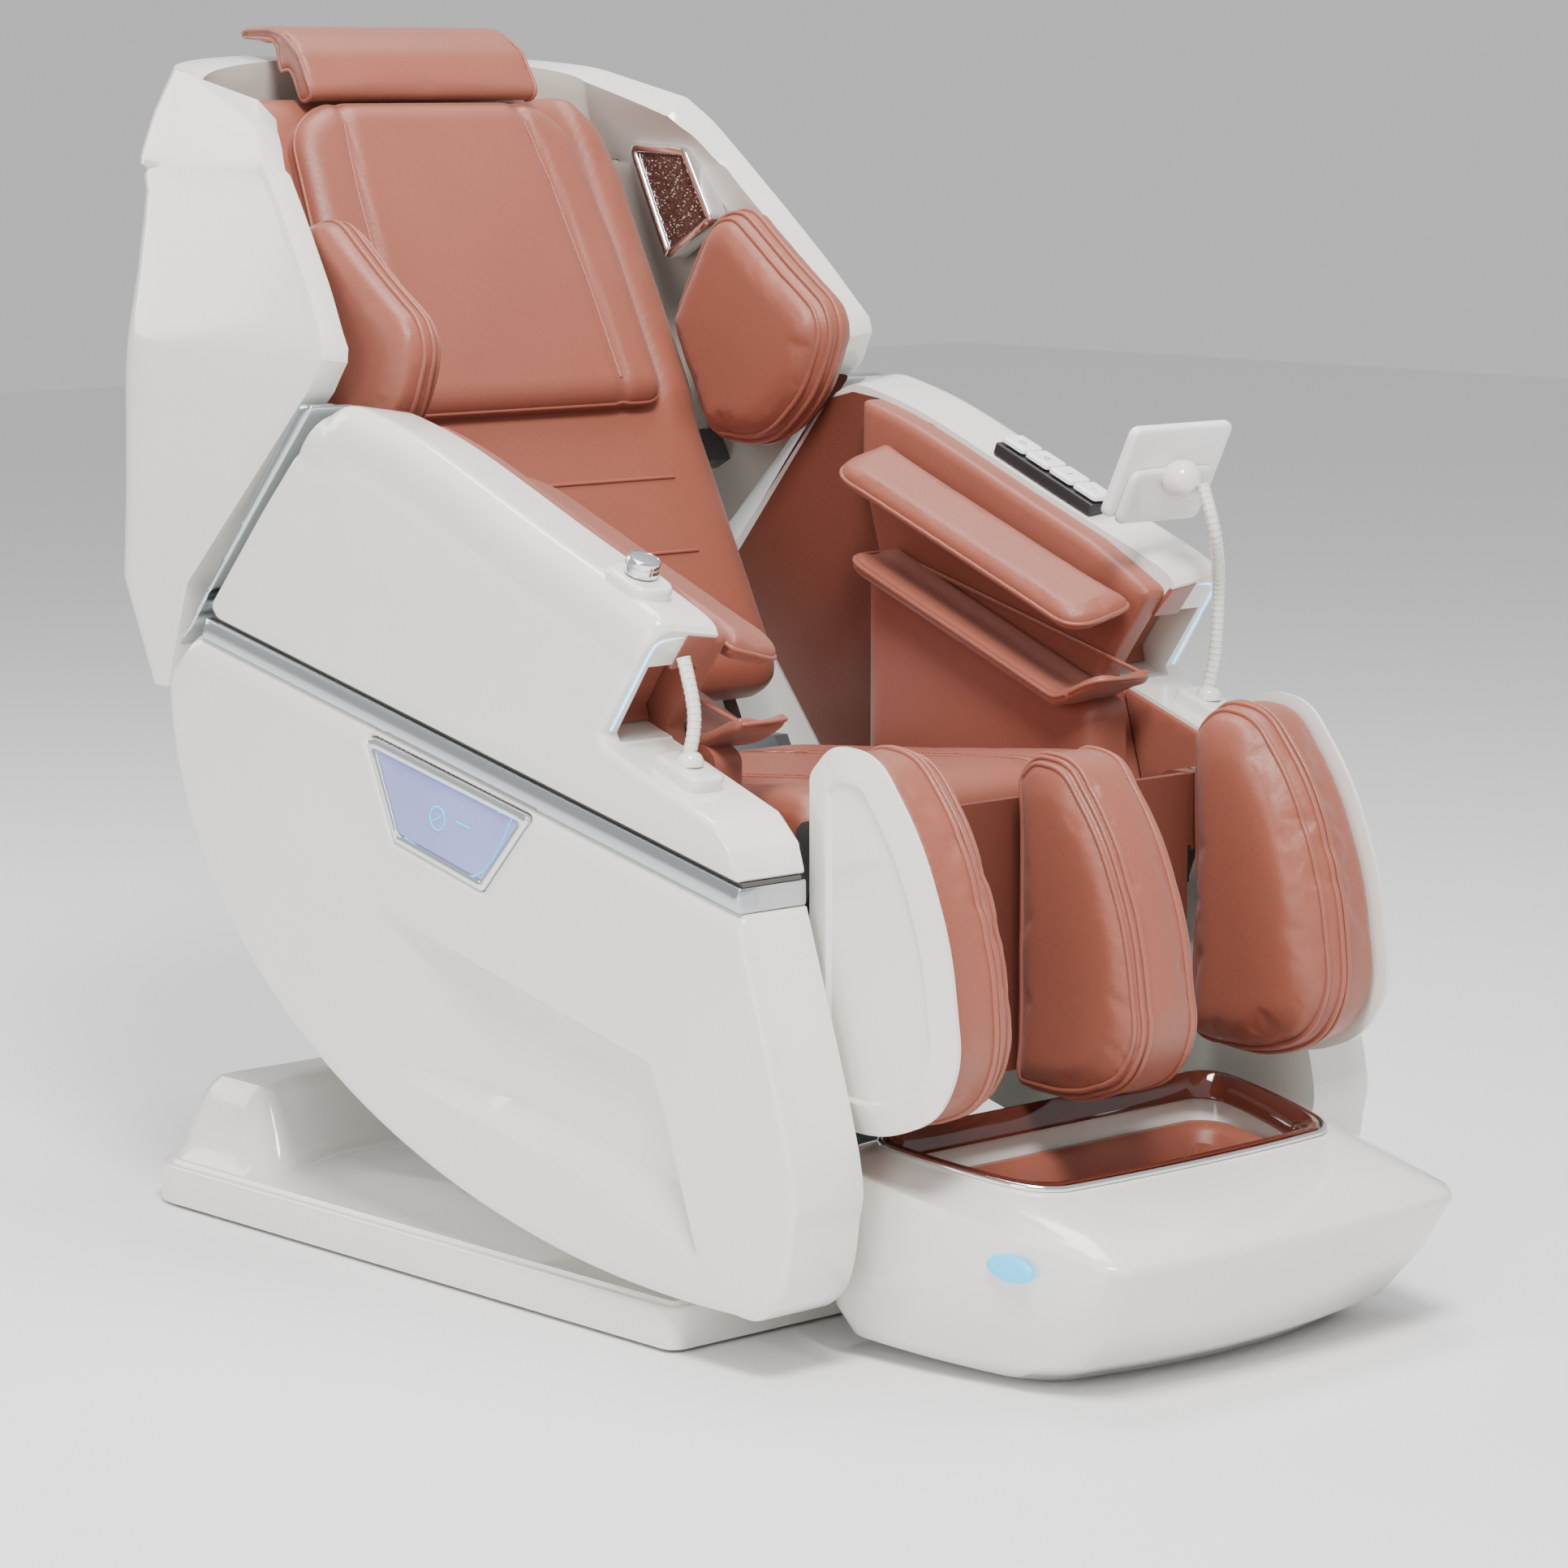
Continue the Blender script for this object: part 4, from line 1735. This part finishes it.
@dataclass
class FootRest:
    """The footrest's white box, bright rim, smoked lip, soles and side lamps."""

    taper: float = 0.16

    def ring(
        self, half: float, front: float, rear: float, low: float, high: float, corner: float, bow: float
    ) -> list[Vector]:
        """One level of the box, bowed at its front and narrower there.

        Args:
            half: Half width at the front.
            front: The front's station.
            rear: The rear's station.
            low: Height at the front.
            high: Height at the rear.
            corner: Radius of the corners.
            bow: How far the front bows.

        Returns:
            The ring's points.
        """
        front_y, rear_y = front + bow, rear
        corners = (
            (half - corner, rear_y - corner, 0), (-half + corner, rear_y - corner, 90),
            (-half + corner, front_y + corner, 180), (half - corner, front_y + corner, 270)
        )
        plan = []
        for x, y, start in corners:
            for i in range(11):
                a = radians(start + 9 * i)
                plan.append((x + corner * cos(a), y + corner * sin(a)))
            if start in (90, 270):
                ends = (front_y + corner, rear_y - corner)
                run = np.linspace(*ends, 10)[1:-1]
                plan += [(-half, y) for y in run[::-1]] if start == 90 else [(half, y) for y in run]
            if start == 180:
                plan += [(x, front_y) for x in np.linspace(-half + corner, half - corner, 16)[1:-1]]
        made = []
        for x, y in plan:
            share = (rear_y - y) / (rear_y - front_y)
            pull = bow * (1 - (x / half) ** 2) * blend_in(np.array([share]), 0.35, 0.75)[0]
            made.append(Vector((x * (1 - self.taper * share * share), y - pull + DATUM_SHIFT, high + (low - high) * share)))
        return made

    def make(self) -> None:
        """The whole footrest."""
        rings = [self.ring(*level) for level in FOOT_LEVELS]
        mesh = loft("foot", rings, closed=True, caps=True)
        obj = piece("foot_skin", outward(mesh), PEARL, 34)
        tubes = self.tube_mesh()
        obj = self.joined("foot_skin", [obj.data, tubes], PEARL)
        settle(obj, "footrest", "white_shell", "foot_box")
        self.make_rim()
        self.make_soles()
        self.make_lamps()

    def tube_mesh(self) -> bpy.types.Mesh:
        """The two runners behind the box."""
        bm = bmesh.new()
        low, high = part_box("foot_box")
        for sign in (1, -1):
            made = bmesh.ops.create_cube(bm, size=1.0)
            bmesh.ops.scale(bm, vec=(0.022, 0.02, high[2] - 0.07), verts=made["verts"])
            bmesh.ops.translate(bm, vec=(sign * 0.161, high[1] - 0.01, (high[2] + 0.07) / 2), verts=made["verts"])
        bmesh.ops.bevel(bm, geom=bm.edges[:], offset=0.0025, segments=2, affect="EDGES")
        mesh = bpy.data.meshes.new("runners")
        bm.to_mesh(mesh)
        bm.free()
        return mesh

    def joined(self, name: str, meshes: Sequence[bpy.types.Mesh], finish: Finish) -> bpy.types.Object:
        """Several meshes as one piece.

        Args:
            name: The object's name.
            meshes: The meshes.
            finish: The surface finish.

        Returns:
            The joined object.
        """
        bm = bmesh.new()
        for mesh in meshes:
            bm.from_mesh(mesh)
        mesh = bpy.data.meshes.new(name)
        bm.to_mesh(mesh)
        bm.free()
        old = bpy.data.objects.get(name)
        if old:
            bpy.data.objects.remove(old, do_unlink=True)
        return piece(name, mesh, finish, 34)

    def make_rim(self) -> None:
        """The bright rim round the well, and the smoked lip inside it."""
        rim = self.ring(0.2445, -0.576, -0.3605, 0.1868, 0.2098, 0.034, 0.01)
        settle(path_work("foot_rim", Path.PIPING, [(rim, True)], BRIGHT, 0.0034, 0.006), "footrest", "satin_trim")
        levels = (
            (0.2415, -0.571, -0.3625, 0.1895, 0.212, 0.033, 0.01), (0.2375, -0.565, -0.3645, 0.1915, 0.2135, 0.032, 0.01),
            (0.233, -0.556, -0.368, 0.186, 0.207, 0.031, 0.01), (0.226, -0.544, -0.373, 0.17, 0.19, 0.03, 0.01),
            (0.226, -0.544, -0.373, 0.167, 0.187, 0.03, 0.01), (0.2345, -0.559, -0.366, 0.18, 0.201, 0.031, 0.01),
        )
        rings = [self.ring(*level) for level in levels]
        mesh = outward(loft("lip", rings + [rings[0]], closed=True))
        settle(piece("foot_lip", mesh, SMOKE, 50), "footrest", "black_plastic")

    def make_soles(self) -> None:
        """The padded soles with a hump between the feet."""
        low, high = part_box("foot_liner")
        outline = rounded(
            [
                (low[0] + 0.003, low[1] + 0.002), (high[0] - 0.003, low[1] + 0.002), (high[0] - 0.003, high[1] - 0.002),
                (low[0] + 0.003, high[1] - 0.002)
            ],
            0.022
        )
        base = 0.103
        tall = high[2] - base - 0.002

        def face(points: Array, gap: Array) -> Array:
            """Two soft soles and the hump."""
            hump = tall * np.exp(-((points[:, 0] / 0.032) ** 4)) + 0.05 * blend_in(np.abs(points[:, 0]), 0.158, 0.18)
            sole = 0.004 * np.cos(points[:, 0] * 38) ** 2
            return base - 0.003 + sole + hump - round_edge(gap, 0.014, 0.011)

        mesh = body_mesh("soles", outline, face, level(base - 0.0245), PLAN, 0.006, (0.0012, 0.004, 0.009, 0.014))
        settle(piece("foot_soles", mesh, HIDE, 60), "footrest", "leather", "foot_liner", padded=0.6)
        levels = (
            (0.231, -0.559, -0.369, 0.07, 0.07, 0.034, 0.01), (0.231, -0.559, -0.369, 0.146, 0.158, 0.034, 0.01),
            (0.226, -0.553, -0.373, 0.153, 0.165, 0.034, 0.01), (0.214, -0.541, -0.383, 0.153, 0.165, 0.03, 0.01),
            (0.204, -0.531, -0.391, 0.146, 0.156, 0.028, 0.01), (0.197, -0.526, -0.396, 0.112, 0.116, 0.026, 0.01),
            (0.192, -0.52, -0.401, 0.098, 0.098, 0.024, 0.01),
        )
        bowl = outward(loft("bowl", [self.ring(*level) for level in levels], closed=True, caps=True))
        settle(piece("foot_airbags", bowl, HIDE, 60), "footrest", "leather", padded=0.6)
        seams = []
        for x in (-0.042, 0.042):
            seams.append(
                (
                    snap(
                        [Vector((x, y, high[2] + 0.02)) for y in np.linspace(low[1] + 0.008, high[1] - 0.008, 24)], mesh,
                        0.0006
                    ),
                    False
                )
            )
        settle(path_work("foot_sole_piping", Path.PIPING, seams, ROLL, 0.0024, 0.005), "footrest", "leather")

    def make_lamps(self) -> None:
        """The oval light on each side of the box."""
        for name, sign in SIDES:
            rim = []
            for a in np.linspace(0, 2 * pi, 36, endpoint=False):
                rim.append((0.03 * cos(a), 0.013 * sin(a)))
            centre = Vector((sign * 0.272, -0.612, 0.127))
            place = Matrix(((0, 0, sign, centre.x), (1, 0, 0, centre.y), (0, 1, 0, centre.z), (0, 0, 0, 1)))
            mesh = body_mesh("lamp", rim, domed(0.003, 0.01, 0.005), level(-0.004), place, 0.004, (0.001, 0.003, 0.006))
            settle(piece("foot_lamp_" + name, mesh, CYAN, 60), "footrest", "display")


@dataclass
class Base:
    """The low white base: wall, ledge, deck and rear hump."""

    half: float = 0.398
    front: float = -0.252
    rear: float = 0.64

    def height(self, points: Array, gap: Array) -> Array:
        """The base's upper surface."""
        y = points[:, 0 + 1] - DATUM_SHIFT
        rim = 0.046 - round_edge(gap, 0.005, 0.004)
        ledge = 0.004 * blend_in(gap, 0.008, 0.011)
        deck = 0.018 * blend_in(gap, 0.014, 0.11)
        rise = blend_in(y, 0.425, 0.5)
        hump = 0.082 * rise * blend_in(gap, 0.012, 0.06)
        return rim + ledge + deck + hump

    def make(self) -> None:
        """The cover on the floor, with the carriage's window."""
        low_y, high_y = self.front + DATUM_SHIFT, self.rear + DATUM_SHIFT
        outline = rounded(
            [(-self.half, low_y), (self.half, low_y), (self.half, high_y), (-self.half, high_y)], 0.02, 8,
            {2: 0.06, 3: 0.06}
        )
        window = [
            (-0.198, -0.18 + DATUM_SHIFT), (0.198, -0.18 + DATUM_SHIFT), (0.198, 0.39 + DATUM_SHIFT),
            (-0.198, 0.39 + DATUM_SHIFT)
        ]

        def under(points: Array, gap: Array) -> Array:
            """The lower surface, a wall's depth under the deck."""
            edge = np.array(outline)
            rim = distance(points, edge, True)
            return np.where(rim < 0.006, 0.004, np.maximum(self.height(points, rim) - 0.01, 0.03))

        def top(points: Array, gap: Array) -> Array:
            """The upper surface, measured from the outer edge alone."""
            return self.height(points, distance(points, np.array(outline), True))

        mesh = body_mesh(
            "base", outline, top, under, PLAN, 0.011, (0.0008, 0.002, 0.0035, 0.0055, 0.0082, 0.0112, 0.015), holes=[window]
        )
        obj = piece("base_skin", mesh, PEARL, 34)
        settle(obj, "base", "white_shell", "base_cover")


def arm_place(y: float, sign: int, x: float) -> Matrix:
    """A frame on the arm's top at a drawn station: across, along, out.

    Args:
        y: The drawn station.
        sign: 1 on the left, -1 on the right.
        x: Distance from the middle plane.

    Returns:
        The frame.
    """
    crown = np.array(ARM_CROWN)
    z = float(np.interp(y, crown[:, 0], crown[:, 1]))
    k = int(np.searchsorted(crown[:, 0], y))
    slope = (crown[k, 1] - crown[k - 1, 1]) / (crown[k, 0] - crown[k - 1, 0])
    along = Vector((0, 1, slope)).normalized()
    out = Vector((0, -slope, 1)).normalized()
    return Matrix(((1, 0, 0, sign * x), (0, along.y, out.y, y + DATUM_SHIFT), (0, along.z, out.z, z), (0, 0, 0, 1)))


def turned_body(profile: Sequence[Pair], place: Matrix, sides_count: int = 48) -> bpy.types.Mesh:
    """A body of revolution from (radius, height) pairs, closed at its poles.

    Args:
        profile: Pairs of radius and height.
        place: The frame it stands in.
        sides_count: How many facets round.

    Returns:
        The mesh.
    """
    rings = []
    for radius, height in profile:
        rings.append(
            [
                place @ Vector((radius * cos(a), radius * sin(a), height))
                for a in np.linspace(0, 2 * pi, sides_count, endpoint=False)
            ]
        )
    return outward(loft("turned", rings, closed=True, caps=True))


@dataclass
class Controls:
    """The dial, keys, phone neck and tablet."""

    dial_y: float = -0.166
    dial_x: float = 0.365

    def make_dial(self) -> None:
        """The knurled dial on its oval pedestal."""
        place = arm_place(self.dial_y, -1, self.dial_x)
        oval = rounded([(-0.026, -0.034), (0.026, -0.034), (0.026, 0.034), (-0.026, 0.034)], 0.0255, 10)
        boss = body_mesh(
            "boss", oval, domed(0.0098, 0.006, 0.0055), level(-0.016), place, 0.006, (0.0006, 0.0018, 0.0038, 0.006)
        )
        settle(piece("dial_pedestal", boss, PEARL, 50), "cabin", "white_shell")
        rim = [
            (0.0, 0.0108), (0.0155, 0.0108), (0.0168, 0.012), (0.017, 0.018), (0.0166, 0.023), (0.0168, 0.0262),
            (0.0158, 0.028), (0.0145, 0.0283), (0.014, 0.0272), (0.0, 0.0272)
        ]
        settle(piece("dial_ring", turned_body(rim[1:-1], place), BRIGHT, 34), "dial", "satin_trim", "control_dial")
        cap = [(0.0138, 0.027), (0.0136, 0.0277), (0.011, 0.028), (0.0004, 0.0281)]
        settle(piece("dial_cap", turned_body(cap, place), SILVER, 50), "dial", "satin_trim")
        circle = [
            place @ Vector((0.0169 * cos(a), 0.0169 * sin(a), 0.0205))
            for a in np.linspace(0, 2 * pi, 120, endpoint=False)
        ]
        notch = path_work("dial_knurling", Path.STITCH, [(circle, True)], SILVER, 0.0009, 0.0022, 0.0009)
        settle(notch, "dial", "satin_trim")

    def make_keys(self) -> None:
        """The four press keys and their notched black deck."""
        place = arm_place(-0.03, 1, 0.345)
        pitch, length = 0.039, 0.159
        deck = rounded([(-0.0205, -length / 2), (0.0205, -length / 2), (0.0205, length / 2), (-0.0205, length / 2)], 0.004)
        mesh = body_mesh("deck", deck, domed(0.0068, 0.002, 0.0018), level(-0.006), place, 0.01, (0.0006, 0.0016))
        settle(piece("key_bed", mesh, BLACK, 50), "cabin", "black_plastic", "key_deck")
        for i in range(4):
            y0 = -length / 2 + 0.003 + i * pitch
            shape = rounded([(-0.016, y0), (0.016, y0), (0.016, y0 + 0.036), (-0.016, y0 + 0.036)], 0.005)

            def cap(points: Array, gap: Array) -> Array:
                """A dished key top."""
                return 0.0152 - round_edge(gap, 0.003, 0.0028) - 0.0008 * blend_in(gap, 0.004, 0.012)

            mesh = body_mesh("key", shape, cap, level(0.0097), place, 0.005, (0.0005, 0.0015, 0.003))
            settle(piece("key_cap_%d" % (i + 1), mesh, KEY, 50), "key_%d" % (i + 1), "key_white", "key_%d" % (i + 1))
            middle = y0 + 0.018
            marks = {
                0: [(0.0, -0.004), (0.0, 0.004)],
                1: [(-0.004, 0.0), (0.004, 0.0)],
                2: [(-0.004, -0.003), (0.004, -0.003), (0.0, 0.004), (-0.004, -0.003)],
                3: [(0.004 * cos(a), 0.004 * sin(a)) for a in np.linspace(0, 2 * pi, 16)],
            }[i]
            line = [place @ Vector((x, middle + v, 0.0146)) for x, v in marks]
            settle(
                path_work("key_mark_%d" % (i + 1), Path.PIPING, [(line, False)], MARK, 0.0005, 0.002), "key_%d" % (i + 1),
                "key_white"
            )

    def neck_foot(self, sign: int) -> Vector:
        """Where a neck stands on the arm's front shelf."""
        y = -0.238
        shelf = 0.534 + (y + 0.318) * 0.054 / 0.153
        return Vector((sign * 0.365, y + DATUM_SHIFT, shelf + 0.002))

    def make_neck(self, name: str, foot: Vector, route: Sequence[Vector], node: str) -> None:
        """A bent neck on its round foot.

        Args:
            name: The piece's name.
            foot: Where the round foot stands.
            route: The neck's route.
            node: The CAD node that the neck replaces.
        """
        lean = Matrix.Translation(foot) @ Matrix.Rotation(radians(19), 4, "X")
        pad = rounded([(-0.0225, -0.034), (0.0225, -0.034), (0.0225, 0.034), (-0.0225, 0.034)], 0.014, 6)
        base = body_mesh("foot", pad, domed(0.0125, 0.005, 0.0045), level(-0.004), lean, 0.007, (0.0006, 0.0018, 0.004))
        settle(piece(name + "_foot", base, PEARL, 50), "cabin", "white_shell", node)
        collar = [(0.014, 0.0), (0.0138, 0.006), (0.0115, 0.0105), (0.0086, 0.013), (0.0006, 0.0135)]
        settle(
            piece(name + "_collar", turned_body(collar, Matrix.Translation(foot + Vector((0, -0.003, 0.01)))), PEARL, 60),
            "cabin", "white_shell"
        )
        places = [np.array(p) for p in route]
        line = []
        last = len(places) - 1
        for i in range(last):
            p0, p1, p2, p3 = (places[min(max(k, 0), last)] for k in (i - 1, i, i + 1, i + 2))
            for k in range(12):
                t = k / 12
                bend = (2 * p0 - 5 * p1 + 4 * p2 - p3) * t * t + (3 * p1 - p0 - 3 * p2 + p3) * t**3
                line.append(0.5 * (2 * p1 + (p2 - p0) * t + bend))
        line.append(places[-1])
        settle(path_work(name + "_tube", Path.PIPING, [(line, False)], PEARL, 0.0068, 0.004), "cabin", "white_shell")
        settle(path_work(name + "_ribs", Path.RIB, [(line, False)], PEARL, 0.0071, 0.0065, 0.0016), "cabin", "white_shell")

    def make_necks(self) -> None:
        """The phone's short neck and the tablet's long one."""
        foot = self.neck_foot(-1)
        route = [
            foot + Vector((0, 0, 0.015)), foot + Vector((0.004, -0.004, 0.04)),
            Vector((foot.x + 0.006, foot.y - 0.002, (foot.z + 0.676) / 2 + 0.012)),
            Vector((foot.x + 0.006, foot.y + 0.012, 0.676))
        ]
        self.make_neck("phone_neck", foot, route, "phone_neck")
        foot = self.neck_foot(1)
        ball = Vector((0.317, -0.24 + DATUM_SHIFT, 0.812))
        end = ball + Vector((0.006, -0.028, -0.006))
        route = [
            foot + Vector((0, 0, 0.015)), foot + Vector((0.004, -0.008, 0.06)), foot + Vector((0.0, -0.015, 0.13)),
            end + Vector((0.006, -0.012, -0.05)), end
        ]
        self.make_neck("tablet_neck", foot, route, "tablet_neck")

    def make_tablet(self) -> None:
        """The tablet in its cradle, with the ball behind it."""
        ball = Vector((0.317, -0.24 + DATUM_SHIFT, 0.812))
        lean = Matrix.Translation(ball) @ Matrix.Rotation(radians(26), 4, "X")
        stand = Matrix(((1, 0, 0, 0), (0, 0, 1, 0), (0, 1, 0, 0), (0, 0, 0, 1)))
        place = lean @ stand
        slab = rounded([(-0.075, -0.0525), (0.075, -0.0525), (0.075, 0.0525), (-0.075, 0.0525)], 0.011, 8)
        body = body_mesh(
            "tablet", slab, domed(0.0255, 0.003, 0.0025), dished(0.0145, 0.005, 0.004), place, 0.008,
            (0.0006, 0.0016, 0.003, 0.005)
        )
        settle(piece("tablet_body", body, KEY, 50), "tablet_head", "key_white", "tablet")
        screen = rounded([(-0.068, -0.0455), (0.068, -0.0455), (0.068, 0.0455), (-0.068, 0.0455)], 0.004, 5)
        glass = body_mesh(
            "screen", screen, lambda p, d: 0.02555 + 0.0003 * blend_in(d, 0, 0.0008), level(0.025), place, 0.01, (0.0008,)
        )
        settle(piece("tablet_screen", glass, BLACK, 50), "tablet_head", "display")
        clamp = rounded(
            [(-0.062, -0.0575), (0.062, -0.0575), (0.062, 0.004), (0.03, 0.006), (-0.03, 0.006), (-0.062, 0.004)], 0.012, 6
        )
        cradle = body_mesh(
            "cradle", clamp, domed(0.014, 0.002, 0.001), dished(0.0062, 0.005, 0.004), place, 0.006, (0.0006, 0.0018, 0.004)
        )
        settle(piece("cradle_plate", cradle, PEARL, 50), "tablet_head", "white_shell", "tablet_cradle")
        knob = Matrix.Translation(lean @ Vector((0, -0.004, 0))) @ lean.to_3x3().to_4x4()
        rings = [(0.0215 * sin(a), -0.0215 * cos(a)) for a in np.linspace(0.06, pi - 0.06, 20)]
        settle(piece("cradle_ball", turned_body(rings, knob, 32), PEARL, 60), "tablet_head", "white_shell")

    def make(self) -> None:
        """Every control."""
        self.make_dial()
        self.make_keys()
        self.make_necks()
        self.make_tablet()


@dataclass
class Studio:
    """Pale floor, soft light and the camera."""

    place: tuple[float, float, float] = (-3.3704, -3.711, 1.2362)
    turn: tuple[float, float, float] = (radians(90 - 8.4616), 0.0, radians(-42.2575))
    lens: float = 110.58

    def lamp(
        self, name: str, place: Sequence[float], size: float, power: float, colour: Sequence[float] = (1, 1, 1)
    ) -> None:
        """A soft square light that faces the chair.

        Args:
            name: The lamp's name.
            place: Where it hangs.
            size: The lamp's edge.
            power: The lamp's power in watts.
            colour: The light's colour.
        """
        data = bpy.data.lights.new(name, "AREA")
        data.shape = "SQUARE"
        data.size = size
        data.energy = power
        data.color = colour
        obj = bpy.data.objects.new(name, data)
        add_to_scene(obj)
        obj.location = place
        obj.rotation_euler = (Vector((0, 0, 0.6)) - Vector(place)).to_track_quat("-Z", "Y").to_euler()

    def floor(self) -> None:
        """The floor, curved up at the rear."""
        mesh = bpy.data.meshes.new("floor")
        reach = FLOOR_REACH
        corners = [(-reach, -reach, 0), (reach, -reach, 0), (reach, reach, 0), (-reach, reach, 0)]
        mesh.from_pydata(corners, [], [(0, 1, 2, 3)])
        obj = bpy.data.objects.new("studio_floor", mesh)
        add_to_scene(obj)
        paper = bpy.data.materials.new("floor_paper")
        paper.use_nodes = True
        shader = paper.node_tree.nodes["Principled BSDF"]
        shader.inputs["Base Color"].default_value = (0.86, 0.86, 0.86, 1)
        shader.inputs["Roughness"].default_value = 0.8
        mesh.materials.append(paper)

    def make(self) -> None:
        """The whole studio."""
        data = bpy.data.cameras.new("view")
        data.lens = self.lens
        data.sensor_width = 36
        camera = bpy.data.objects.new("view", data)
        add_to_scene(camera)
        camera.location = self.place
        camera.rotation_euler = self.turn
        bpy.context.scene.camera = camera
        world = bpy.data.worlds.new("studio")
        bpy.context.scene.world = world
        world.use_nodes = True
        sky = world.node_tree.nodes["Background"]
        sky.inputs["Color"].default_value = (1.0, 1.0, 1.0, 1)
        sky.inputs["Strength"].default_value = 0.62
        self.floor()
        self.lamp("key_light", (-1.6, -2.2, 4.2), 1.3, 300, (1.0, 0.985, 0.96))
        self.lamp("fill_light", (-4.6, -1.6, 1.6), 2.4, 70, (0.97, 0.98, 1.0))
        self.lamp("top_light", (0.4, 0.6, 4.2), 1.8, 110)
        self.lamp("rear_light", (-1.5, 3.8, 2.4), 2.0, 60)


def dress_carried(nodes: dict) -> None:
    """Gives every CAD node that stays in view its own finish.

    Args:
        nodes: The CAD objects by name.
    """
    slots = {entry["slot"] for entry in frame["record"].get("materials", [])}
    for name, obj in nodes.items():
        current = obj.material_slots[0].material.name if obj.material_slots else ""
        key = next((s for s in sorted(slots, key=len, reverse=True) if current.startswith(s)), "steel")
        finish = DEEP_HIDE if name == "leg_frame" else CARRIED.get(key, STEEL)
        if obj.material_slots:
            for entry in obj.material_slots:
                entry.material = finish.material()
        else:
            obj.data.materials.append(finish.material())


def main() -> None:
    """Builds every sub-assembly in order and reports it."""
    Studio().make()
    log.info("studio")
    dress_carried(frame["nodes"])
    log.info("carried parts")
    panel, strip, arm, display = SidePanel(), TrimStrip(), Arm(), Display()
    for name, sign in SIDES:
        panel.make(name, sign)
        strip.make(name, sign)
        arm.make(name, sign)
        display.make(name, sign)
        log.info("side %s", name)
    for label, part in (
        ("hood", Hood()), ("back", BackSoft()), ("seat", SeatSoft()), ("legs", LegRest()), ("feet", FootRest()),
        ("base", Base()), ("controls", Controls())
    ):
        part.make()
        log.info(label)


if __name__ == "__main__":
    main()
